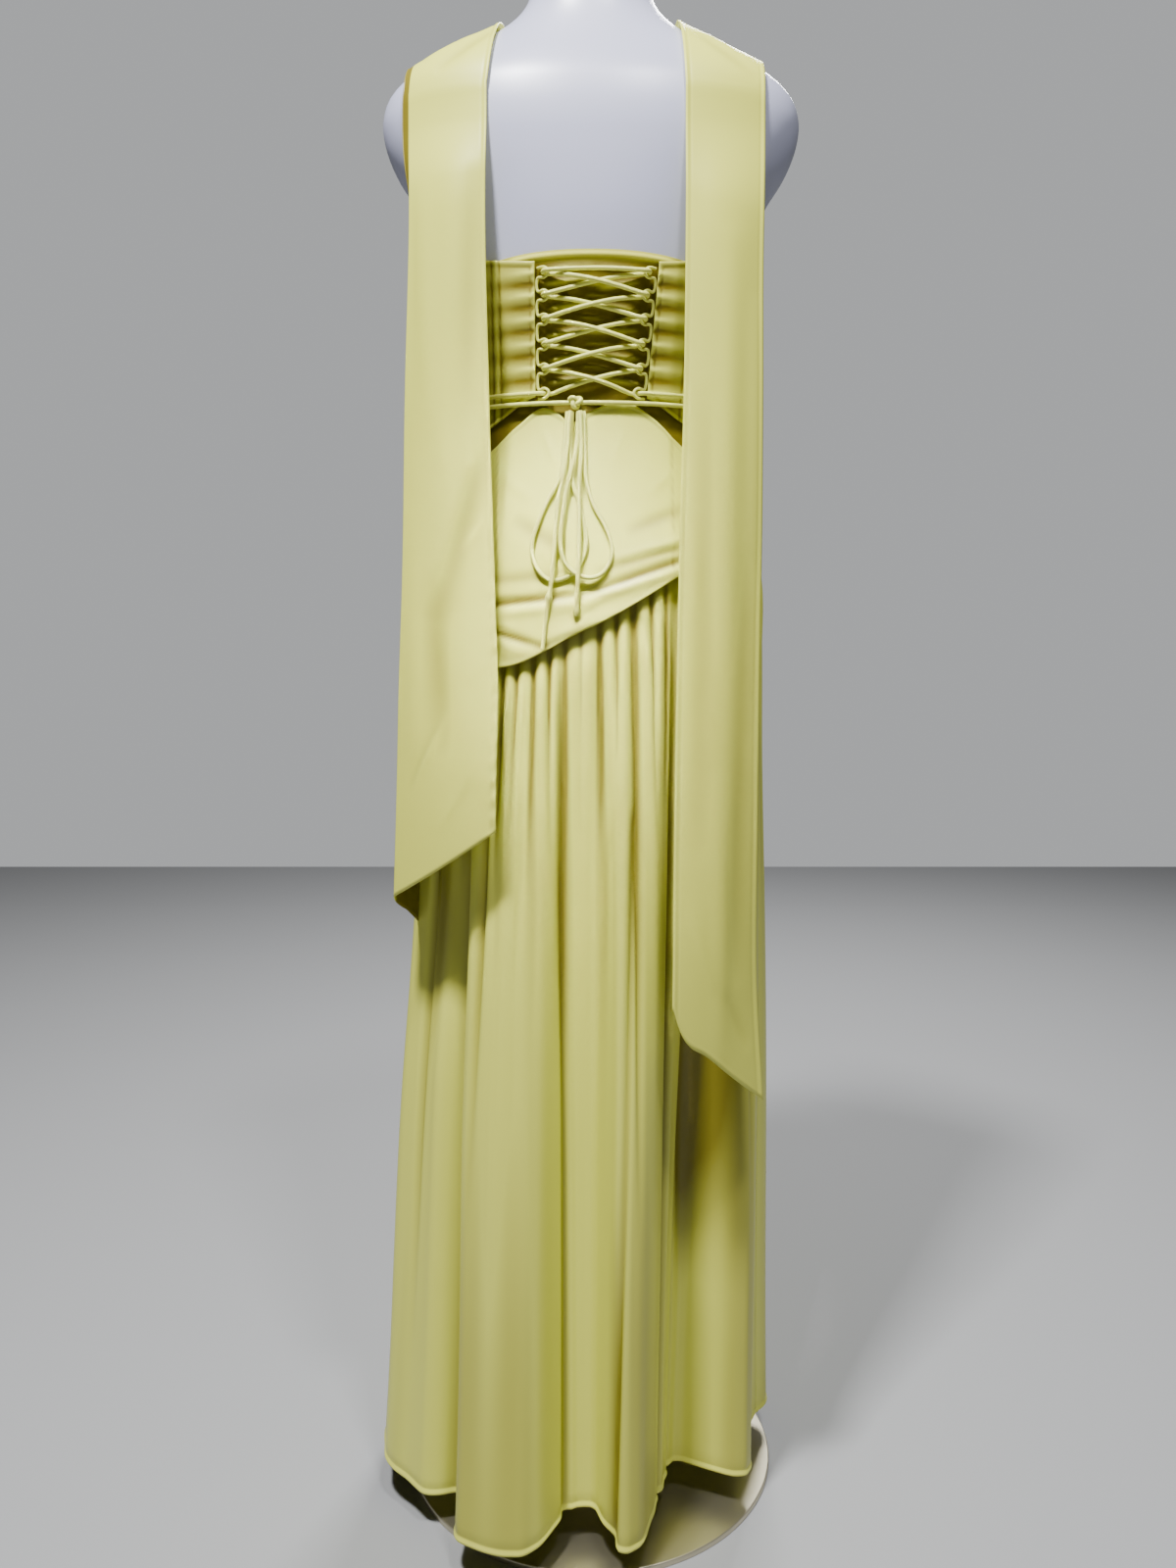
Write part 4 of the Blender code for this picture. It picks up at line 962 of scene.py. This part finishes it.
TAIL_RIGHT_FOLDS = np.array([
    # x, height, x, height, width, height of the fold
    (0.082, 1.436, 0.132, 1.400, 0.0050, 0.0014),
    (0.092, 1.420, 0.150, 1.372, 0.0050, -0.0012),
    (0.124, 1.240, 0.122, 0.840, 0.0120, 0.0022),
    (0.102, 1.100, 0.098, 0.680, 0.0110, -0.0018),
    (0.142, 0.960, 0.134, 0.560, 0.0100, -0.0018),
    (0.116, 0.760, 0.118, 0.490, 0.0100, 0.0020),
    (0.088, 0.640, 0.112, 0.560, 0.0050, 0.0010),
    (0.120, 0.560, 0.146, 0.500, 0.0050, -0.0010),
    (0.148, 1.180, 0.150, 0.900, 0.0080, 0.0012),
])
ACROSS_LEFT = np.concatenate([
    np.linspace(0, 0.05, 8), np.linspace(0.06, 0.94, 60),
    np.linspace(0.95, 1.1, 18), np.linspace(1.11, 1.5, 24),
])
ACROSS_RIGHT = np.concatenate([
    np.linspace(0, 0.05, 8), np.linspace(0.06, 0.94, 60), np.linspace(0.95, 1, 8)
])
for word, table, folds, across, (inner_end, outer_end), flat, area in (
    ("left", TAIL_LEFT, TAIL_LEFT_FOLDS, ACROSS_LEFT, (0.7066, 0.6370), (0.130, 0.900), 0.1080),
    ("right", TAIL_RIGHT, TAIL_RIGHT_FOLDS, ACROSS_RIGHT, (0.5398, 0.4464), (0.088, 1.100), 0.0920),
):
    end = inner_end + (outer_end - inner_end) * np.minimum(across, 1)
    if word == "left":
        end = end - TURN_DROP * np.maximum(across - 1, 0) * 2
    else:
        end = end + 0.012 * bell(across, 0.07) - 0.006 * bell(across - 0.2, 0.13)
    tail = tail_surface(table, across, end)
    downward = np.linalg.norm(np.diff(tail, axis=0), axis=-1)
    run = np.cumsum(downward[::-1], axis=0)[::-1]
    to_bottom = np.concatenate([run, np.zeros((1, len(across)))])
    from_inner = SCARF_WIDTH * across
    detail = turned_edges(from_inner, to_bottom) + turned_edges(from_inner[-1] - from_inner, 0.1)
    folded = creased(tail[..., 0], tail[..., 2], folds)
    if word == "left":
        pucker = bell(from_inner, 0.006) * smooth_step(1.02 - tail[..., 2], 0, 0.1)
        detail = detail + 0.0009 * pucker * np.sin(tail[..., 2] * 2 * math.pi / 0.017)
        detail = detail + folded * (1 - smooth_step(across, 0.85, 1.0))
    else:
        detail = detail + 0.0008 * bell(to_bottom - 0.0020, 0.0018) + folded
    # Painted shade on the part turned under past the outer edge and in the troughs of the creases
    painted_shade = 0.95 * smooth_step(across, 1.02, 1.12) - detail / 0.0060
    outward = slice(None, None, -1 if word == "left" else 1)
    tail, detail, painted_shade = (values[::-1, outward] for values in (tail, detail, painted_shade))
    scarf_end = cloth_shell(f"scarf_end_{word}", raised(tail, detail), SATIN_CREPE, painted_shade, 0.0010)
    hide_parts(f"scarf_tail_{word}")

CHEST_TOP, CHEST_LOW = 1.388, 1.300
chest_along = np.linspace(-1, 1, 161)[None, :]
chest_across = np.linspace(0, 1, 61)[:, None]
chest_x = SCARF_EDGES[0] + (SCARF_EDGES[1] - SCARF_EDGES[0]) * chest_across
chest_edge = top_height(chest_x, SHOULDER_TOP + 0.0006 + 0 * chest_x, TAIL_OUTSIDE)
chest_middle = CHEST_TOP + (CHEST_LOW - CHEST_TOP) * chest_across
chest_reach = np.abs(chest_along) ** 1.6
chest_height = chest_middle + (chest_edge - chest_middle) * chest_reach
chest_folds = 0.004 * np.sin(2.5 * math.pi * chest_across) ** 2 * (1 - chest_reach)
chest_below = chest_height - TAIL_OUTSIDE * smooth_step(chest_reach, 0.3, 1)
chest_wide = curve_value(FORM, chest_below, 1) + TAIL_OUTSIDE + chest_folds
chest_deep = curve_value(FORM, chest_below, 3) + TAIL_OUTSIDE + chest_folds
chest_share = (np.abs(chest_along * chest_x) / chest_wide) ** SECTION_POWER
chest = np.stack([
    chest_along * chest_x, chest_deep * (1 - chest_share) ** (1 / SECTION_POWER), chest_height,
], axis=-1)
chest_inset = SCARF_WIDTH * np.minimum(chest_across, 1 - chest_across)
chest = raised(chest, turned_edges(chest_inset, 0.1))
scarf_across = cloth_shell("scarf_across", chest, SATIN_CREPE, 0.0, 0.0010)
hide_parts("scarf_front")


# The lacing: rouleau, a turned tube of the same crepe about 4 mm thick. Loops of it stand out
# from the laced edges and one cord runs through them, round the waist and into a bow.
# The cords carry no painted shade, so the rouleau's shade colour goes unused
ROULEAU = crepe_finish("butter_rouleau", "#E8EA72", "#766810", grain=0.0009, Roughness=0.5)
LACE_RADIUS, LOOP_RADIUS, LOOP_REACH, LACE_GAP = 0.0020, 0.0013, 0.0110, 0.0009
CROSSING_UNDER, CROSSING_OVER = 0.0086, 0.0132
LOOP_HALF_HEIGHT, LOOP_OFFSET, WAIST_OFFSET = 0.0043, 0.0088, 0.0088
BOW_LEFT_ROUTE = (
    # x, height, offset
    (-0.0214, 1.0800, 0.0088),
    (-0.0240, 1.0518, 0.0082),
    (-0.0276, 1.0220, 0.0082),
    (-0.0400, 0.9980, 0.0082),
    (-0.0498, 0.9745, 0.0084),
    (-0.0534, 0.9590, 0.0086),
    (-0.0498, 0.9415, 0.0088),
    (-0.0400, 0.9305, 0.0088),
    (-0.0276, 0.9292, 0.0088),
    (-0.0142, 0.9372, 0.0088),
    (-0.0062, 0.9520, 0.0088),
    (-0.0045, 0.9675, 0.0086),
    (-0.0098, 0.9935, 0.0084),
    (-0.0165, 1.0177, 0.0082),
    (-0.0190, 1.0476, 0.0082),
    (-0.0170, 1.0800, 0.0088),
)
BOW_RIGHT_ROUTE = (
    # x, height, offset
    (-0.0118, 1.0800, 0.0088),
    (-0.0122, 1.0603, 0.0103),
    (-0.0148, 1.0390, 0.0126),
    (-0.0205, 1.0177, 0.0128),
    (-0.0249, 0.9920, 0.0128),
    (-0.0276, 0.9640, 0.0128),
    (-0.0240, 0.9465, 0.0130),
    (-0.0165, 0.9365, 0.0132),
    (-0.0045, 0.9310, 0.0132),
    (0.0071, 0.9328, 0.0118),
    (0.0151, 0.9415, 0.0100),
    (0.0187, 0.9572, 0.0090),
    (0.0122, 0.9775, 0.0088),
    (0.0010, 0.9985, 0.0088),
    (-0.0048, 1.0220, 0.0088),
    (-0.0060, 1.0518, 0.0088),
    (-0.0070, 1.0800, 0.0088),
)
END_LEFT_ROUTE = (
    # x, height, offset
    (-0.0187, 1.0800, 0.0134),
    (-0.0205, 1.0603, 0.0132),
    (-0.0231, 1.0350, 0.0130),
    (-0.0260, 1.0177, 0.0130),
    (-0.0294, 1.0005, 0.0130),
    (-0.0325, 0.9658, 0.0130),
    (-0.0350, 0.9320, 0.0134),
    (-0.0385, 0.9100, 0.0126),
    (-0.0410, 0.8900, 0.0120),
    (-0.0436, 0.8675, 0.0122),
)
END_RIGHT_ROUTE = (
    # x, height, offset
    (-0.0098, 1.0800, 0.0134),
    (-0.0092, 1.0518, 0.0134),
    (-0.0095, 1.0348, 0.0132),
    (-0.0107, 1.0177, 0.0130),
    (-0.0107, 0.9832, 0.0132),
    (-0.0110, 0.9572, 0.0158),
    (-0.0116, 0.9360, 0.0176),
    (-0.0125, 0.9170, 0.0144),
    (-0.0134, 0.8967, 0.0120),
)


def on_back(x, height, offset):
    """A point over the back: the widened section's, at the angle that has this x."""
    return around(angle_at(x, height, offset), height, offset)


def run_along(points):
    """How far each point lies along the line: the running sum of the steps."""
    return np.concatenate([[0], np.cumsum(np.linalg.norm(np.diff(points, axis=0), axis=1))])


def smooth_route(points, spacing):
    """Evenly spaced points on one curve through the given ones: each cubic piece runs between
    two points and leaves them in the direction of their neighbours."""
    points = np.asarray(points, float)
    padded = np.vstack([2 * points[0] - points[1], points, 2 * points[-1] - points[-2]])
    t = np.linspace(0, 1, 24, endpoint=False)[:, None, None]
    before, start, end, after = (padded[k : len(padded) - 3 + k] for k in range(4))
    fine = 0.5 * (
        2 * start
        + (end - before) * t
        + (2 * before - 5 * start + 4 * end - after) * t**2
        + (3 * start - before - 3 * end + after) * t**3
    )
    fine = np.vstack([fine.transpose(1, 0, 2).reshape(-1, 3), points[-1:]])
    along = run_along(fine)
    wanted = np.linspace(0, along[-1], max(3, round(along[-1] / spacing) + 1))
    return np.stack([np.interp(wanted, along, fine[:, k]) for k in range(3)], axis=1)


def rouleau(name, points, radius, knot_at=None):
    """A round tube carried along the points, a little thicker and thinner along its length.
    A single knot, where it has one, is a bell-shaped swelling a few millimetres long."""
    data = bpy.data.curves.new(name, "CURVE")
    data.dimensions = "3D"
    data.bevel_depth, data.bevel_resolution, data.use_fill_caps = radius, 4, True
    spline = data.splines.new("POLY")
    spline.points.add(len(points) - 1)
    spline.points.foreach_set("co", np.column_stack([points, np.ones(len(points))]).ravel())
    along = run_along(points)
    swell = 1 + 0.05 * np.sin(along * 2 * math.pi / 0.011) * np.sin(along * 2 * math.pi / 0.037)
    if knot_at is not None:
        swell = swell + 0.75 * bell(along - along[-1] + knot_at, 0.0032)
    spline.points.foreach_set("radius", swell)
    data.materials.append(ROULEAU)
    made = bpy.data.objects.new(name, data)
    bpy.context.scene.collection.objects.link(made)
    return made


for side, word in ((-1, "left"), (1, "right")):
    steps = ((0.0018, 1.0, 0.0045), (0.0075, 1.0, 0.0079), (LOOP_REACH, 0.42, LOOP_OFFSET))
    steps += tuple((reach, -up, out) for reach, up, out in reversed(steps))
    places = [(row + LOOP_HALF_HEIGHT * up, reach, out) for row in LACE_ROWS
              for reach, up, out in steps]
    points = [on_back(panel_edge(side, z) - side * reach, z, out) for z, reach, out in places]
    loops = rouleau(f"edge_loops_{word}", smooth_route(points, 0.0012), LOOP_RADIUS)
    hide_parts(f"lace_loops_{word}")


def turn_at(side, row):
    """Points round a loop's end on a circle, arriving over it and leaving under it."""
    bend = panel_edge(side, LACE_ROWS[row]) - side * LOOP_REACH
    reach = LOOP_RADIUS + LACE_GAP + LACE_RADIUS
    turn = np.radians([75, 125, 180, 235, 285])
    return list(zip(
        bend - side * reach * np.cos(turn),
        LACE_ROWS[row] + 0.0007 * np.sin(turn),
        LOOP_OFFSET + reach * np.sin(turn),
    ))


def span(start, end, crossing):
    """Points between two loops, arching out by a sine where the laces cross."""
    points = []
    for share in (0.2, 0.4, 0.6, 0.8):
        arch = math.sin(math.pi * share)
        level = start[2] + (end[2] - start[2]) * share
        points.append((
            start[0] + (end[0] - start[0]) * share,
            start[1] + (end[1] - start[1]) * share + 0.0016 * arch,
            level + (crossing - level) * arch**0.8,
        ))
    return points


halves = []
for first in (-1, 1):
    side, route = first, turn_at(first, 0)
    for row in range(1, len(LACE_ROWS)):
        side = -side
        crossing = CROSSING_UNDER if side * (-1) ** row > 0 else CROSSING_OVER
        if row < len(LACE_ROWS) - 1:
            arrival = turn_at(side, row)
        else:
            edge = panel_edge(side, LACE_ROWS[-1])
            arrival = [(edge - side * reach, LACE_ROWS[-1] + drop, out) for reach, drop, out in (
                (0.0150, 0, 0.0050), (0.0098, 0, 0.0050), (0.0052, 0, 0.0080),
                (-0.0010, 0, 0.0090), (-0.0060, -0.0002, 0.0088))]
        route += span(route[-1], arrival[0], crossing) + arrival
    halves.append(route)
whole = halves[0][::-1] + span(halves[0][0], halves[1][0], 0.0100) + halves[1]
laced = rouleau("laced_cord", smooth_route([on_back(*p) for p in whole], 0.0018), LACE_RADIUS)
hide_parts("lacing")

KNOT_PLACE, KNOT_WIDTH = (-0.0142, 1.0885, 0.0100), 0.0085
KNOT_SIZE, KNOT_HEIGHT = 0.0022, 0.0017
WAIST_DROP, SECOND_TURN = 0.0088, 0.0046
for side, word in ((1, "right"), (-1, "left")):
    start_x = panel_edge(side, LACE_ROWS[-1]) + side * 0.0064
    start = float(angle_at(start_x, LACE_ROWS[-1], WAIST_OFFSET)) * side
    end_x = KNOT_PLACE[0] - side * (KNOT_WIDTH - 0.0030)
    end = 360 + float(angle_at(end_x, KNOT_PLACE[1], WAIST_OFFSET)) * side
    share = np.linspace(0, 1, 260)
    height = LACE_ROWS[-1] - 0.0002 - WAIST_DROP * smooth_step(share, 0.1, 0.9)
    rise = smooth_step(share, 0.05, 0.35) * (1 - smooth_step(share, 0.65, 0.9))
    offset = WAIST_OFFSET + (0 if side > 0 else SECOND_TURN) * rise
    waist = around((start + (end - start) * share) * side, height, offset)
    round_waist = rouleau(f"cord_round_waist_{word}", smooth_route(waist, 0.003), LACE_RADIUS)
    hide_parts(f"waist_cord_{word}")

# The knot is a trefoil, flattened against the back
knot_turn = np.linspace(0, 2 * math.pi, 90, endpoint=False)
knot_centre = on_back(*KNOT_PLACE)
knot_points = knot_centre + np.stack([
    KNOT_SIZE * (np.sin(knot_turn) + 2 * np.sin(2 * knot_turn)) * 0.85,
    KNOT_SIZE * -np.sin(3 * knot_turn),
    KNOT_HEIGHT * (np.cos(knot_turn) - 2 * np.cos(2 * knot_turn)),
], axis=-1)
bow_knot = rouleau("bow_knot", np.vstack([knot_points, knot_points[:2]]), LACE_RADIUS)
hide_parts("lace_knot")

for name, node, route, far_end, knot_at in (
    ("bow_left", "bow_loop_left", BOW_LEFT_ROUTE, "object", None),
    ("bow_right", "bow_loop_right", BOW_RIGHT_ROUTE, "object", None),
    ("end_left", "lace_end_left", END_LEFT_ROUTE, "knot", 0.046),
    ("end_right", "lace_end_right", END_RIGHT_ROUTE, "knot", 0.004),
):
    route = smooth_route([on_back(*p) for p in route], 0.0025)
    free = rouleau(name, route, LACE_RADIUS, knot_at)
    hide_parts(node)

for piece in list(bpy.context.scene.collection.objects):
    if piece.type in {"MESH", "CURVE"} and not piece.get("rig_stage"):
        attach(piece, "root")
